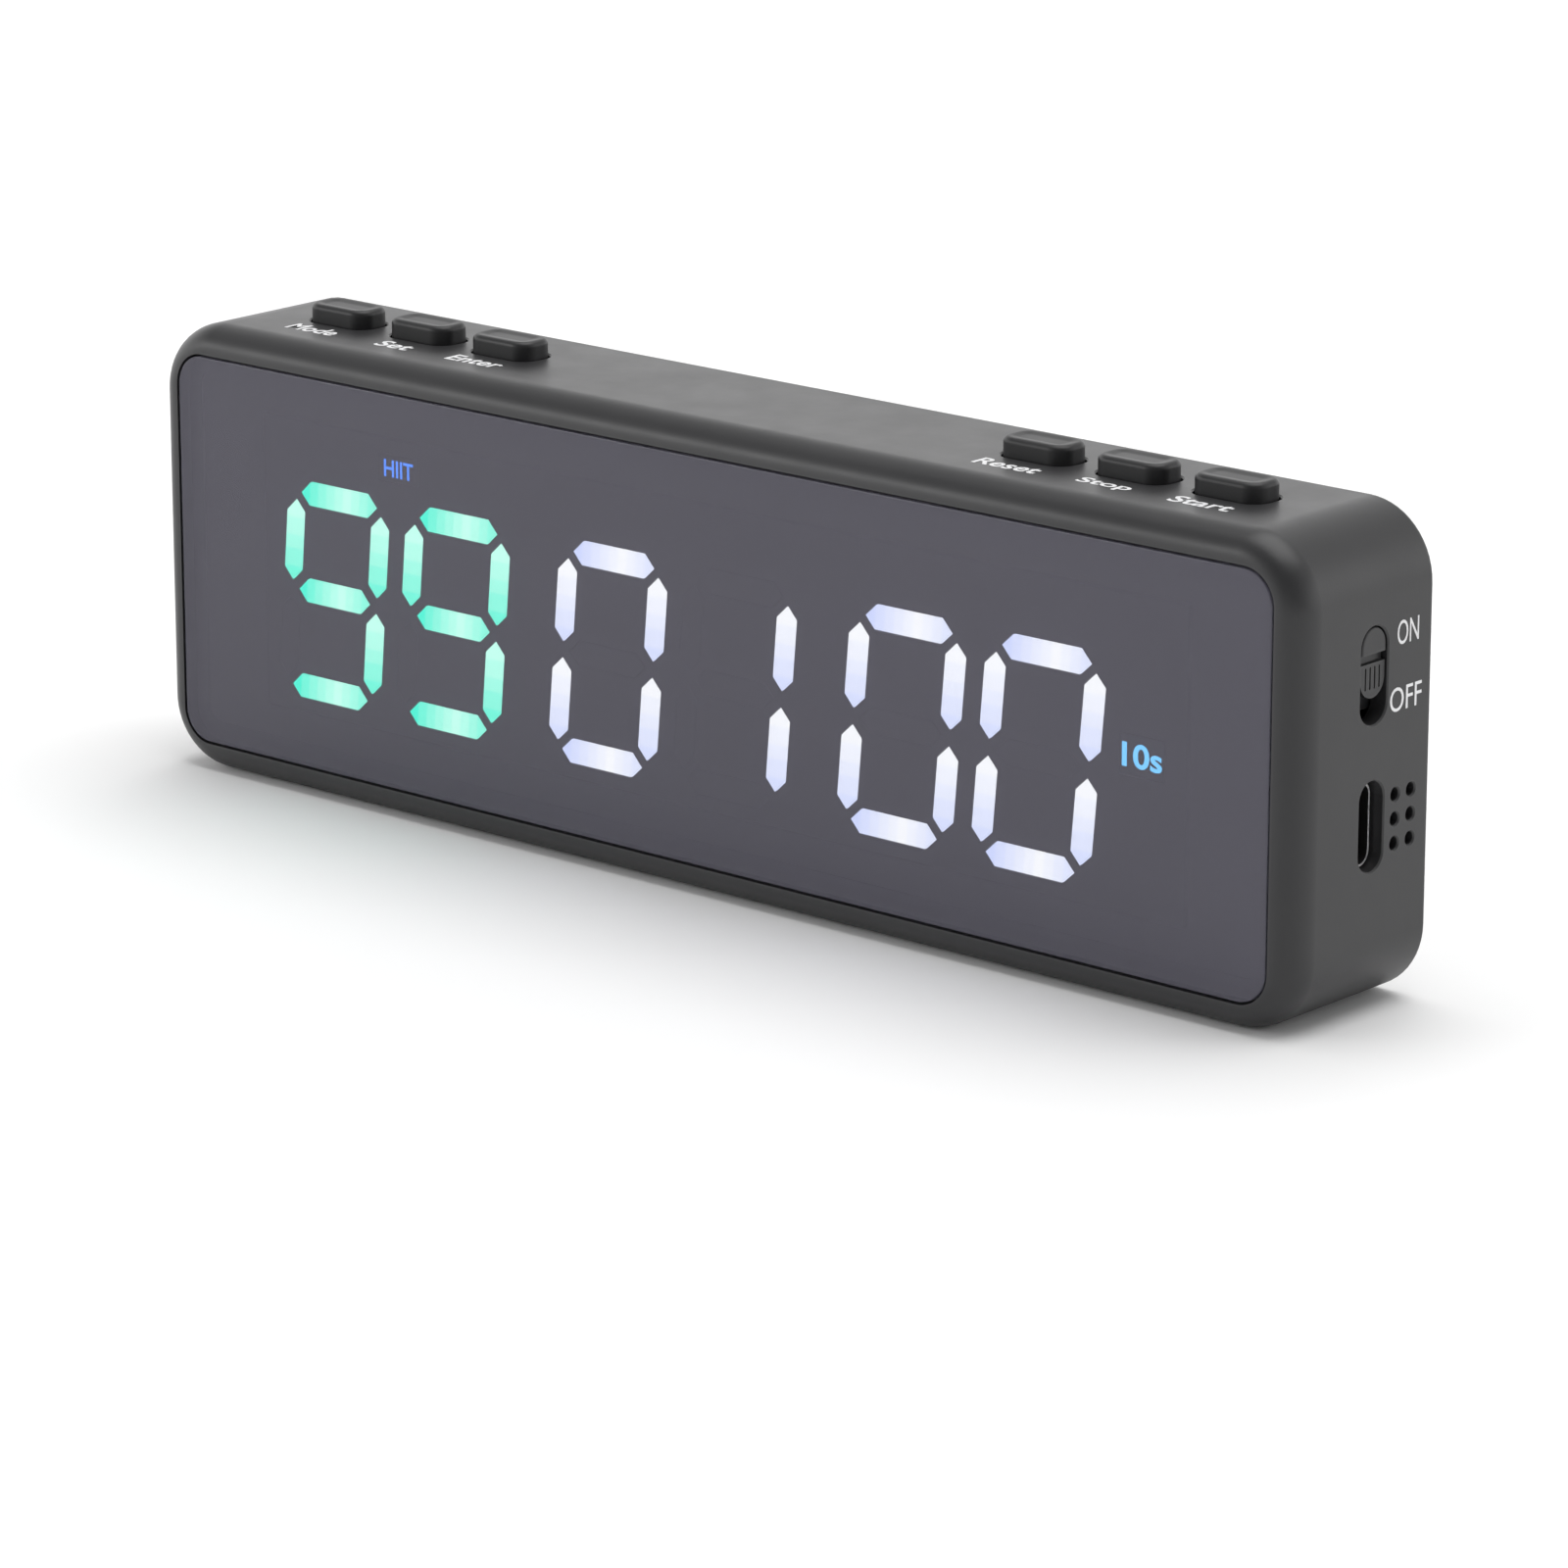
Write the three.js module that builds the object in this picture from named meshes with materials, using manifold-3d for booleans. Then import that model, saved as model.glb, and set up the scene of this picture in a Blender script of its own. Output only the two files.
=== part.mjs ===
// Gym round timer: a slim bar clock that stands on its long side. Six seven-segment digits shine
// through a smoked front lens. Six push buttons stand on top, and a power slider, a charging socket
// and sound holes are in the right end. A rear cover with four screws closes the case.
// Millimetres. +X is right, -Y is the front, +Z is up. The origin is the middle of the resting face.

import * as THREE from "three";
import { mergeVertices } from "three/addons/utils/BufferGeometryUtils.js";
import Module from "manifold-3d";

const wasm = await Module();
wasm.setup();

// ---------------------------------------------------------------- sizes that are chosen

// Clearances
const stackGap = 0.1; // between flat faces that rest on each other
const dropInGap = 0.3; // around a piece that drops into a pocket or past a neighbour
const keyGap = 0.25; // around a button cap in its hole
const slideGap = 0.1; // between the power slider and each end of its slot
const slideSideGap = 0.2; // along the sides of that slot
const cutPast = 5; // how far a cutting tool runs past the face that it opens
const cutStart = 1; // and how far inside a hollow it starts

// Case
const caseWidth = 160;
const caseHeight = 51.2;
const caseDepth = 22.3;
const cornerRadius = 7.9;
const wall = 2;
const frontWall = 1.2; // the wall behind the lens
const frontRoundWidth = 2.9; // the front edge's rounding, across the front
const frontRoundDepth = 3.7; // the same rounding, along the depth
const rearRound = 0.8;
const coverThickness = 1.8;
const coverInset = 1.4; // from the case's outer edge to the cover, which drops into the back
const coverEdge = 0.3; // the cover's own soft rear edge

// Lens and its adhesive frame
const lensMargin = 3.4; // from the case's outer edge to the lens
const lensThickness = 1.5;
const lensRadius = 3.6;
const lensGap = 0.25;
const lensEdge = 0.2; // the broken edge around its two faces
const adhesiveThickness = 0.3;
const adhesiveWidth = 1.7;

// Display
const displayDrop = 2.5; // how far the digits' middle lies below the case's middle
const digitRowX = -4.25; // middle of the row, left of centre to leave room for the seconds sign
const digitHeight = 22.2; // between the centre lines of the top and bottom bars
const digitWidth = 13; // between the centre lines of the side bars
const segmentThickness = 2.65;
const digitGap = 2.55; // between the bars of two neighbouring digits
const pairGap = 4.7; // more than that between two pairs
const greenDigits = 2; // the first pair, which counts the rounds, is green
const barTipGap = 0.75; // from the corner of the centre lines to a horizontal bar's tip
const middleBarTipGap = 1.1; // the same for the middle bar
const postTipGap = 0.95; // and to a vertical bar's tip
const slantDegrees = 5;
const segmentGap = 0.12; // around a segment in its window
const diffuserPlate = 0.8;
const diffuserBorder = 0.3; // how far the plate reaches past the segments
const frameFace = 4; // thickness of the display frame where the segments pass
const frameBorder = 1;
const modeSignShift = 1.2; // to the right of the first pair's middle
const modeSignGap = 2; // above the digits
const modeSignWidth = 6;
const modeSignHeight = 3;
const secondsSignGap = 2.8; // to the right of the last digit
const secondsSignRise = 2.6; // above the digits' middle
const secondsSignWidth = 5.6;
const secondsSignHeight = 4.2;
const signFlange = 0.4;
const earReach = 2.6; // how far the frame's ears reach past its sides, behind the front wall
const earHeight = 20;
const earThickness = 1.5;

// Boards and electronics
const boardSetback = 10.8; // from the case's front to the board's rear face
const boardThickness = 1.2;
const ledWidth = 2;
const ledThickness = 0.8;
const ledSunk = 0.2; // how deep a light's foot is in the board
const chipSize = 10;
const chipThickness = 1.4;
const chipCorner = 0.4;
const chipEdge = 0.2;
const chipX = 44;
const buzzerRadius = 6;
const buzzerRoom = 2; // left between its rear face and the magnets' depth
const buzzerRim = 0.6; // the chamfer around its rear face
const buzzerX = 63.2;
const buzzerPortRadius = 1.3;
const batteryLength = 62;
const batteryHeight = 32;
const batteryRoom = 2; // left behind the cell, so that it can swell
const batteryX = -14;
const batteryZ = 23;
const batteryRound = 1.4; // its long edges
const batteryCorner = 2;
const sealReach = 1; // how far the pouch's seal stands out at its lead end
const sealRoot = 2; // and how far it runs into the pouch
const sealThickness = 1;
const sealMargin = 3; // from the pouch's long edges to the seal
const batteryPadThickness = 1;
const batteryPadMargin = 3.5; // from the pouch's edges to the pad's
const socketX = 25; // where the battery socket's mouth is
const socketLength = 7;
const socketWidth = 6.6;
const socketThickness = 4.4;
const socketWall = 0.7;
const plugLength = 6;
const plugGap = 0.2;
const leadRadius = 0.6;
const leadPitch = 2.2; // between the two leads at the plug
const leadSpread = 1.6; // times that pitch at the pouch
const leadGap = 0.5; // from the pouch's seal to the start of a lead
const leadSlack = 0.6; // how far a lead's middle bows to the back
const magnetRadius = 6;
const magnetThickness = 2.5;
const magnetX = 58;

// Buttons, left to right on each end of the top
const buttonNames = [["mode", "set", "enter"], ["reset", "stop", "start"]];
const capSpacing = 3.6; // between two caps
const buttonEndDistance = 17.7; // from the case's end to the middle of the outer button
const capLength = 8.8;
const capDepth = 5;
const capRadius = 2;
const capProud = 2; // above the case's top
const capEdgeRound = 0.45;
const capFlange = 0.9; // how far the flange reaches past the cap
const capFlangeThickness = 0.8;
const buttonTravel = 0.5;
const stemLength = 3;
const stemDepth = 2.6;
const stemDrop = 1.05;
const switchLength = 6.2;
const switchThickness = 3.6;
const switchHeight = 4;
const plungerRadius = 1.3;
const plungerProud = 0.75; // above the switch's body
const plungerBore = 0.2; // radial clearance of the plunger
const plungerSunk = 1.3; // how deep the plunger stands in the body

// Power slider
const slotLength = 10.1;
const slotWidth = 4.4;
const slotFromTop = 15.55;
const sliderTravel = 2.6;
const sliderSunk = 0.1; // how far the knob's face lies inside the case's end
const gripSunk = 0.2; // how much deeper the face lies below the groove
const sliderFlangeThickness = 1.3;
const sliderFlangeReach = 1.2; // past the slot's sides
const sliderGuard = 0.35; // past the slot's ends, shared between both positions
const grooveWidth = 1;
const grooveDepth = 0.7;
const grooveFromTop = 3.2;
const knobEdge = 0.3;
const sliderFlangeCorner = 1;
const leverLength = 3;
const leverWidth = 1.4;
const leverIntoKnob = 1.2;
const leverIntoSwitch = 2;
const slideBodyLength = 9;
const slideBodyThickness = 3.1;
const slideBodyDepth = 4.5;

// Charging socket
const usbFromBottom = 20.1;
const usbMouthLength = 9.4;
const usbMouthWidth = 4;
const usbShellLength = 8.9;
const usbShellWidth = 3.2;
const usbShellWall = 0.3;
const usbShellDepth = 7.3;
const usbSunk = 1.4;
const usbBlockDepth = 2;
const tongueLength = 6.7;
const tongueThickness = 0.7;
const tongueSunk = 0.5;

// Sound holes
const soundHoleRadius = 0.68;
const soundColumns = 2;
const soundRows = 3;
const soundPitchY = 2.6;
const soundPitchZ = 2.55;
const soundFromBack = 4.6; // from the case's back to the middle of the pattern

// Screws
const bossRadius = 3;
const coverScrewRadius = 1.1;
const coverScrewHead = 2.3;
const coverScrewHeadHeight = 1.1;
const coverScrewLength = 8;
const coverScrewSunk = 0.1;
const postRadius = 2;
const boardScrewRadius = 0.8;
const boardScrewHead = 1.7;
const boardScrewHeadHeight = 1.1;
const boardScrewLength = 5;
const boardScrewTopX = 26;
const boardScrewBottomX = 57;
const screwGap = 0.25; // around a shank, in the hole that it passes or bites
const screwHeadGap = 0.2;
const screwTipRoom = 1; // between a screw's tip and the bottom of its hole
const screwTipTaper = 1; // length of a cover screw's tapered tip
const screwTipShare = 0.6; // the tip's radius, as a share of the shank's
const panEdge = 0.4; // the chamfer of a board screw's head
const crossWidth = 0.5;
const crossDepth = 0.6;
const crossShare = 0.6; // how far the cross reaches, as a share of the head's radius

// Rear cover's inner ribs and magnet cups
const ribLength = 110;
const ribThickness = 1.2;
const ribHeight = 2;
const cupWall = 0.9;
const cupHeight = 1.6;

// Fineness of the round surfaces
const caseCornerSteps = 8; // facets in a quarter circle of the case's and lens's corners
const cornerSteps = 4; // and in a quarter circle of a small part's corner
const roundSteps = 16; // facets around a screw or a plunger
const wideRoundSteps = 28; // and around a magnet or its cup
const frontRoundSteps = 6; // facets across the rounding of the case's front edge
const edgeSteps = 3; // and across every other soft edge
const leadSections = 12; // along a battery lead
const leadSides = 4; // half the facets around one

// ---------------------------------------------------------------- places that follow from them

const frontY = -caseDepth / 2;
const backY = caseDepth / 2;
const middleZ = caseHeight / 2;
const lensBackY = frontY + lensThickness;
const ledgeY = lensBackY + adhesiveThickness + 2 * stackGap;
const innerFrontY = ledgeY + frontWall;
const coverFrontY = backY - coverThickness;
const coverLedgeY = coverFrontY - stackGap; // the step in the case's walls that the cover rests on
const boardBackY = frontY + boardSetback;
const boardFrontY = boardBackY - boardThickness;
const mountedY = boardBackY + stackGap; // where pieces on the board's rear face start
const innerEndX = caseWidth / 2 - wall;
const innerTopZ = caseHeight - wall;

const lensWidth = caseWidth - 2 * lensMargin;
const lensHeight = caseHeight - 2 * lensMargin;

const displayZ = middleZ - displayDrop;
const slant = Math.tan(THREE.MathUtils.degToRad(slantDegrees));
const frameFrontY = lensBackY + dropInGap;
const digitPitch = digitWidth + segmentThickness + digitGap;
const pairPitch = 2 * digitPitch + pairGap;
const firstPairX = digitRowX - pairPitch;
const lastDigitX = digitRowX + pairPitch + digitPitch / 2;
const modeSignX = firstPairX + modeSignShift;
const modeSignRise = (digitHeight + segmentThickness + modeSignHeight) / 2 + modeSignGap;
const secondsSignX = lastDigitX + (digitWidth + segmentThickness + secondsSignWidth) / 2 + secondsSignGap;
const plateFrontY = frameFrontY + frameFace + stackGap;
const plateWidth = digitWidth + segmentThickness + 2 * diffuserBorder;
const plateHeight = digitHeight + segmentThickness + 2 * diffuserBorder;
const slantReach = (slant * (plateHeight + 2 * dropInGap)) / 2;
const frameLeftX = firstPairX - (digitPitch + plateWidth) / 2 - dropInGap - slantReach;
const frameRightX = secondsSignX + secondsSignWidth / 2 + signFlange + dropInGap;
const frameHalfWidth = Math.max(-frameLeftX, frameRightX) + frameBorder;
const frameBottomZ = displayZ - plateHeight / 2 - dropInGap - frameBorder;
const signTopZ = displayZ + modeSignRise + modeSignHeight / 2 + signFlange + dropInGap;
const frameTopZ = Math.max(signTopZ, displayZ + plateHeight / 2 + dropInGap) + frameBorder;

const flangeTopZ = innerTopZ - dropInGap;
const flangeBottomZ = flangeTopZ - capFlangeThickness;
const stemBottomZ = flangeBottomZ - stemDrop;
const plungerTopZ = stemBottomZ - stackGap;
const switchTopZ = plungerTopZ - plungerProud;
const buttonY = mountedY + switchThickness / 2;
const buttonPitch = capLength + capSpacing;

const batteryFrontY = mountedY + batteryPadThickness + stackGap;
const batteryThickness = coverFrontY - batteryRoom - batteryFrontY;

const magnetFrontY = coverFrontY - stackGap - magnetThickness;
const buzzerHeight = magnetFrontY - buzzerRoom - mountedY;

const slotZ = caseHeight - slotFromTop;
const slideY = mountedY + slideBodyThickness / 2;
const knobLength = slotLength - sliderTravel - 2 * slideGap;
const knobWidth = slotWidth - 2 * slideSideGap;
const knobRestZ = slotZ + sliderTravel / 2;
const sliderFlangeWidth = slotWidth + 2 * sliderFlangeReach;
const sliderFlangeLength = slotLength + 2 * sliderGuard;
const knobFaceX = caseWidth / 2 - sliderSunk;
const sliderFlangeOuterX = innerEndX - dropInGap;
const sliderFlangeInnerX = sliderFlangeOuterX - sliderFlangeThickness;
const slideBodyEndX = sliderFlangeInnerX - dropInGap;

const usbY = mountedY + usbShellWidth / 2;
const usbMouthX = caseWidth / 2 - usbSunk;
const usbRearX = usbMouthX - usbShellDepth;

const soundY = backY - soundFromBack;

const bossX = caseWidth / 2 - wall - bossRadius;
const bossInsetZ = wall + bossRadius;
const postTopZ = frameTopZ + dropInGap + postRadius;
const postBottomZ = frameBottomZ - dropInGap - postRadius;
const boardTopZ = flangeBottomZ - buttonTravel - dropInGap;
const boardBottomZ = wall + dropInGap;
const boardHalfWidth = innerEndX - dropInGap;

const bosses = [];
for (const x of [-bossX, bossX]) {
  for (const z of [bossInsetZ, caseHeight - bossInsetZ]) {
    bosses.push({ x, z });
  }
}
const posts = [
  { x: -boardScrewTopX, z: postTopZ },
  { x: boardScrewTopX, z: postTopZ },
  { x: -boardScrewBottomX, z: postBottomZ },
  { x: boardScrewBottomX, z: postBottomZ },
];
const buttons = [];
buttonNames[0].forEach((name, i) => {
  buttons.push({ name, x: -caseWidth / 2 + buttonEndDistance + i * buttonPitch });
});
buttonNames[1].forEach((name, i) => {
  const stepsFromEnd = buttonNames[1].length - 1 - i;
  buttons.push({ name, x: caseWidth / 2 - buttonEndDistance - stepsFromEnd * buttonPitch });
});
const digitCentres = [];
for (const pair of [-1, 0, 1]) {
  for (const side of [-0.5, 0.5]) {
    digitCentres.push(digitRowX + pair * pairPitch + side * digitPitch);
  }
}
const signs = [
  {
    name: "mode_sign",
    x: modeSignX,
    z: displayZ + modeSignRise,
    width: modeSignWidth,
    height: modeSignHeight,
  },
  {
    name: "seconds_sign",
    x: secondsSignX,
    z: displayZ + secondsSignRise,
    width: secondsSignWidth,
    height: secondsSignHeight,
  },
];

// ---------------------------------------------------------------- finishes

const finishes = {
  case: { color: 0x1c1c1e, roughness: 0.55, metalness: 0 },
  lens: { color: 0x2b2a30, roughness: 0.12, metalness: 0 },
  adhesive: { color: 0x0c0c0c, roughness: 0.9, metalness: 0 },
  displayFrame: { color: 0x101012, roughness: 0.8, metalness: 0 },
  greenLight: { color: 0x5ff0c0, roughness: 0.4, metalness: 0 },
  whiteLight: { color: 0xe6ecff, roughness: 0.4, metalness: 0 },
  blueLight: { color: 0x58a8ff, roughness: 0.4, metalness: 0 },
  board: { color: 0x14532d, roughness: 0.5, metalness: 0 },
  component: { color: 0x151515, roughness: 0.6, metalness: 0 },
  rubber: { color: 0x18181a, roughness: 0.75, metalness: 0 },
  steel: { color: 0xb9bcc0, roughness: 0.3, metalness: 1 },
  battery: { color: 0xb4b8bd, roughness: 0.35, metalness: 0.8 },
  foam: { color: 0xe8e6df, roughness: 0.95, metalness: 0 },
  connector: { color: 0xf2efe6, roughness: 0.5, metalness: 0 },
  redLead: { color: 0xb01818, roughness: 0.5, metalness: 0 },
  blackLead: { color: 0x111111, roughness: 0.5, metalness: 0 },
};

// ---------------------------------------------------------------- shapes and solids

// For each pulling axis, the directions that an outline's own x, y and thickness take.
const pullFrames = {
  X: [new THREE.Vector3(0, 1, 0), new THREE.Vector3(0, 0, 1), new THREE.Vector3(1, 0, 0)],
  Y: [new THREE.Vector3(1, 0, 0), new THREE.Vector3(0, 0, 1), new THREE.Vector3(0, -1, 0)],
  Z: [new THREE.Vector3(1, 0, 0), new THREE.Vector3(0, 1, 0), new THREE.Vector3(0, 0, 1)],
};

// A closed geometry as a solid that can be joined and cut.
function solidFrom(geometry) {
  const bare = geometry.index ? geometry.toNonIndexed() : geometry.clone();
  bare.deleteAttribute("normal");
  bare.deleteAttribute("uv");
  const merged = mergeVertices(bare, 1e-4);
  const corners = merged.index.array;
  const kept = [];
  for (let i = 0; i < corners.length; i += 3) {
    const [a, b, c] = corners.slice(i, i + 3);
    if (a !== b && b !== c && c !== a) kept.push(a, b, c);
  }
  const mesh = new wasm.Mesh({
    numProp: 3,
    vertProperties: merged.attributes.position.array,
    triVerts: new Uint32Array(kept),
  });
  return new wasm.Manifold(mesh);
}

function geometryFrom(solid) {
  const mesh = solid.getMesh();
  const geometry = new THREE.BufferGeometry();
  geometry.setAttribute("position", new THREE.BufferAttribute(mesh.vertProperties, mesh.numProp));
  geometry.setIndex(new THREE.BufferAttribute(mesh.triVerts, 1));
  return geometry;
}

function roundedRectangle(width, height, radius, x = 0, y = 0) {
  const dx = width / 2 - radius;
  const dy = height / 2 - radius;
  const shape = new THREE.Shape();
  shape.absarc(x + dx, y - dy, radius, -Math.PI / 2, 0);
  shape.absarc(x + dx, y + dy, radius, 0, Math.PI / 2);
  shape.absarc(x - dx, y + dy, radius, Math.PI / 2, Math.PI);
  shape.absarc(x - dx, y - dy, radius, Math.PI, Math.PI * 1.5);
  shape.closePath();
  return shape;
}

const sharp = { width: 0, depth: 0, steps: 0 };

// An outline pulled along an axis from low to high. edge softens the outline at both ends, and
// quarterSteps is the number of facets in a quarter circle.
function pull(shape, axis, low, high, edge = sharp, quarterSteps = cornerSteps) {
  const geometry = new THREE.ExtrudeGeometry(shape, {
    depth: high - low - 2 * edge.depth,
    bevelEnabled: edge.steps > 0,
    bevelThickness: edge.depth,
    bevelSize: edge.width,
    bevelOffset: -edge.width,
    bevelSegments: edge.steps,
    curveSegments: quarterSteps / 2, // an arc gets two facets for each
  });
  geometry.translate(0, 0, edge.depth);
  geometry.applyMatrix4(new THREE.Matrix4().makeBasis(...pullFrames[axis]));
  if (axis === "X") geometry.translate(low, 0, 0);
  if (axis === "Y") geometry.translate(0, high, 0);
  if (axis === "Z") geometry.translate(0, 0, low);
  return solidFrom(geometry);
}

function block(x0, x1, y0, y1, z0, z1) {
  const geometry = new THREE.BoxGeometry(x1 - x0, y1 - y0, z1 - z0);
  geometry.translate((x0 + x1) / 2, (y0 + y1) / 2, (z0 + z1) / 2);
  return solidFrom(geometry);
}

// A rod along Y between two depths, at (x, z).
function rodY(radius, y0, y1, x = 0, z = 0, steps = roundSteps) {
  const geometry = new THREE.CylinderGeometry(radius, radius, y1 - y0, steps);
  geometry.translate(x, (y0 + y1) / 2, z);
  return solidFrom(geometry);
}

function rodX(radius, x0, x1, y, z) {
  const geometry = new THREE.CylinderGeometry(radius, radius, x1 - x0, roundSteps);
  geometry.rotateZ(-Math.PI / 2);
  geometry.translate((x0 + x1) / 2, y, z);
  return solidFrom(geometry);
}

function rodZ(radius, z0, z1) {
  const geometry = new THREE.CylinderGeometry(radius, radius, z1 - z0, roundSteps);
  geometry.rotateX(Math.PI / 2);
  geometry.translate(0, 0, (z0 + z1) / 2);
  return solidFrom(geometry);
}

// A turned piece about an axis along Y. The profile holds [radius, y], from its front to its back.
function turnedY(profile) {
  const points = profile.map(([radius, y]) => new THREE.Vector2(radius, y));
  return solidFrom(new THREE.LatheGeometry(points, roundSteps));
}

const timer = new THREE.Group();

function place(name, solid, finish, x = 0, y = 0, z = 0) {
  const mesh = new THREE.Mesh(geometryFrom(solid), new THREE.MeshStandardMaterial(finish));
  mesh.name = name;
  mesh.position.set(x, y, z);
  timer.add(mesh);
}

// ---------------------------------------------------------------- case

function caseOutline(inset) {
  return roundedRectangle(caseWidth - 2 * inset, caseHeight - 2 * inset, cornerRadius - inset, 0, middleZ);
}

function lensOutline(grow) {
  return roundedRectangle(lensWidth + 2 * grow, lensHeight + 2 * grow, lensRadius + grow, 0, middleZ);
}

// The tub that carries everything: both rounded edges, four sides, screw bosses and board posts.
function mainHousing() {
  const frontEdge = { width: frontRoundWidth, depth: frontRoundDepth, steps: frontRoundSteps };
  const rearEdge = { width: rearRound, depth: rearRound, steps: edgeSteps };
  const pastBack = backY + frontRoundDepth + cutPast;
  const pastFront = frontY - rearRound - cutPast;
  const outline = caseOutline(0);
  let tub = pull(outline, "Y", frontY, pastBack, frontEdge, caseCornerSteps);
  tub = tub.intersect(pull(outline, "Y", pastFront, backY, rearEdge, caseCornerSteps));
  tub = tub.subtract(pull(caseOutline(wall), "Y", innerFrontY, pastBack, sharp, caseCornerSteps));
  const rebate = caseOutline(coverInset - dropInGap);
  tub = tub.subtract(pull(rebate, "Y", coverLedgeY, pastBack, sharp, caseCornerSteps));
  tub = tub.subtract(pull(lensOutline(lensGap), "Y", frontY - cutPast, ledgeY, sharp, caseCornerSteps));
  tub = tub.subtract(
    block(
      -frameHalfWidth - dropInGap,
      frameHalfWidth + dropInGap,
      frontY,
      innerFrontY + cutPast,
      frameBottomZ - dropInGap,
      frameTopZ + dropInGap,
    ),
  );
  for (const { x } of buttons) {
    const holeLength = capLength + 2 * keyGap;
    const holeDepth = capDepth + 2 * keyGap;
    const hole = roundedRectangle(holeLength, holeDepth, capRadius + keyGap, x, buttonY);
    tub = tub.subtract(pull(hole, "Z", innerTopZ - cutStart, caseHeight + cutPast));
  }
  const slot = roundedRectangle(slotWidth, slotLength, slotWidth / 2, slideY, slotZ);
  tub = tub.subtract(pull(slot, "X", innerEndX - cutStart, caseWidth));
  const mouth = roundedRectangle(usbMouthWidth, usbMouthLength, usbMouthWidth / 2, usbY, usbFromBottom);
  tub = tub.subtract(pull(mouth, "X", innerEndX - cutStart, caseWidth));
  for (let column = 0; column < soundColumns; column += 1) {
    for (let row = 0; row < soundRows; row += 1) {
      const y = soundY + (column - (soundColumns - 1) / 2) * soundPitchY;
      const z = usbFromBottom + (row - (soundRows - 1) / 2) * soundPitchZ;
      tub = tub.subtract(rodX(soundHoleRadius, innerEndX - cutStart, caseWidth, y, z));
    }
  }
  for (const { x, z } of bosses) {
    tub = tub.add(rodY(bossRadius, innerFrontY - frontWall / 2, coverLedgeY, x, z));
    const boreEndY = backY - coverScrewSunk - coverScrewLength - screwTipRoom;
    tub = tub.subtract(rodY(coverScrewRadius + screwGap, boreEndY, backY, x, z));
  }
  for (const { x, z } of posts) {
    tub = tub.add(rodY(postRadius, innerFrontY - frontWall / 2, boardFrontY - stackGap, x, z));
    const boreEndY = boardBackY - boardScrewLength - screwTipRoom;
    tub = tub.subtract(rodY(boardScrewRadius + screwGap, boreEndY, boardBackY, x, z));
  }
  return tub;
}

// The plate that drops into the back, with ribs that locate it and cups that hold the magnets.
function rearCover() {
  const edge = { width: coverEdge, depth: coverEdge, steps: edgeSteps };
  const pastFront = coverFrontY - coverEdge - cutPast;
  let cover = pull(caseOutline(coverInset), "Y", pastFront, backY, edge, caseCornerSteps);
  cover = cover.subtract(
    block(-caseWidth, caseWidth, pastFront - cutPast, coverFrontY, -caseHeight, 2 * caseHeight),
  );
  const rootY = coverFrontY + coverThickness / 2; // ribs and cups are rooted this deep in the plate
  const ribOuter = wall + dropInGap;
  for (const z of [ribOuter + ribThickness / 2, caseHeight - ribOuter - ribThickness / 2]) {
    const ribFront = coverFrontY - ribHeight;
    const low = z - ribThickness / 2;
    cover = cover.add(block(-ribLength / 2, ribLength / 2, ribFront, rootY, low, low + ribThickness));
  }
  const cupInner = magnetRadius + dropInGap;
  for (const x of [-magnetX, magnetX]) {
    const cup = rodY(cupInner + cupWall, coverFrontY - cupHeight, rootY, x, middleZ, wideRoundSteps);
    const hollow = rodY(cupInner, coverFrontY - cutPast, coverFrontY, x, middleZ, wideRoundSteps);
    cover = cover.add(cup).subtract(hollow);
  }
  for (const { x, z } of bosses) {
    const sink = turnedY([
      [0, coverFrontY - cutPast],
      [coverScrewRadius + screwGap, coverFrontY - cutPast],
      [coverScrewRadius + screwGap, backY - coverScrewSunk - coverScrewHeadHeight],
      [coverScrewHead + screwHeadGap, backY - coverScrewSunk],
      [coverScrewHead + screwHeadGap, backY + cutPast],
      [0, backY + cutPast],
    ]).translate([x, 0, z]);
    cover = cover.subtract(sink);
  }
  return cover;
}

function frontLens() {
  const edge = { width: lensEdge, depth: lensEdge, steps: 1 };
  return pull(lensOutline(0), "Y", frontY, lensBackY, edge, caseCornerSteps);
}

function lensAdhesive() {
  const front = lensBackY + stackGap;
  const back = front + adhesiveThickness;
  const ring = pull(lensOutline(-dropInGap), "Y", front, back);
  return ring.subtract(pull(lensOutline(-dropInGap - adhesiveWidth), "Y", front - cutPast, back + cutPast));
}

// A countersunk screw with a cross recess. Its head's face is at y = 0 and it points forwards.
function countersunkScrew() {
  const neckY = -coverScrewHeadHeight;
  const screw = turnedY([
    [0, -coverScrewLength],
    [coverScrewRadius * screwTipShare, -coverScrewLength],
    [coverScrewRadius, -coverScrewLength + screwTipTaper],
    [coverScrewRadius, neckY],
    [coverScrewHead, 0],
    [0, 0],
  ]);
  return screw.subtract(crossRecess(coverScrewHead));
}

function panScrew() {
  const screw = turnedY([
    [0, -boardScrewLength],
    [boardScrewRadius, -boardScrewLength],
    [boardScrewRadius, -stackGap],
    [boardScrewRadius, stackGap],
    [boardScrewHead, stackGap],
    [boardScrewHead, boardScrewHeadHeight - panEdge],
    [boardScrewHead - panEdge, boardScrewHeadHeight],
    [0, boardScrewHeadHeight],
  ]);
  return screw.subtract(crossRecess(boardScrewHead).translate([0, boardScrewHeadHeight, 0]));
}

function crossRecess(headRadius) {
  const reach = headRadius * crossShare;
  const half = crossWidth / 2;
  const level = block(-reach, reach, -crossDepth, cutPast, -half, half);
  const upright = block(-half, half, -crossDepth, cutPast, -reach, reach);
  return level.add(upright);
}

// ---------------------------------------------------------------- display

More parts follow.
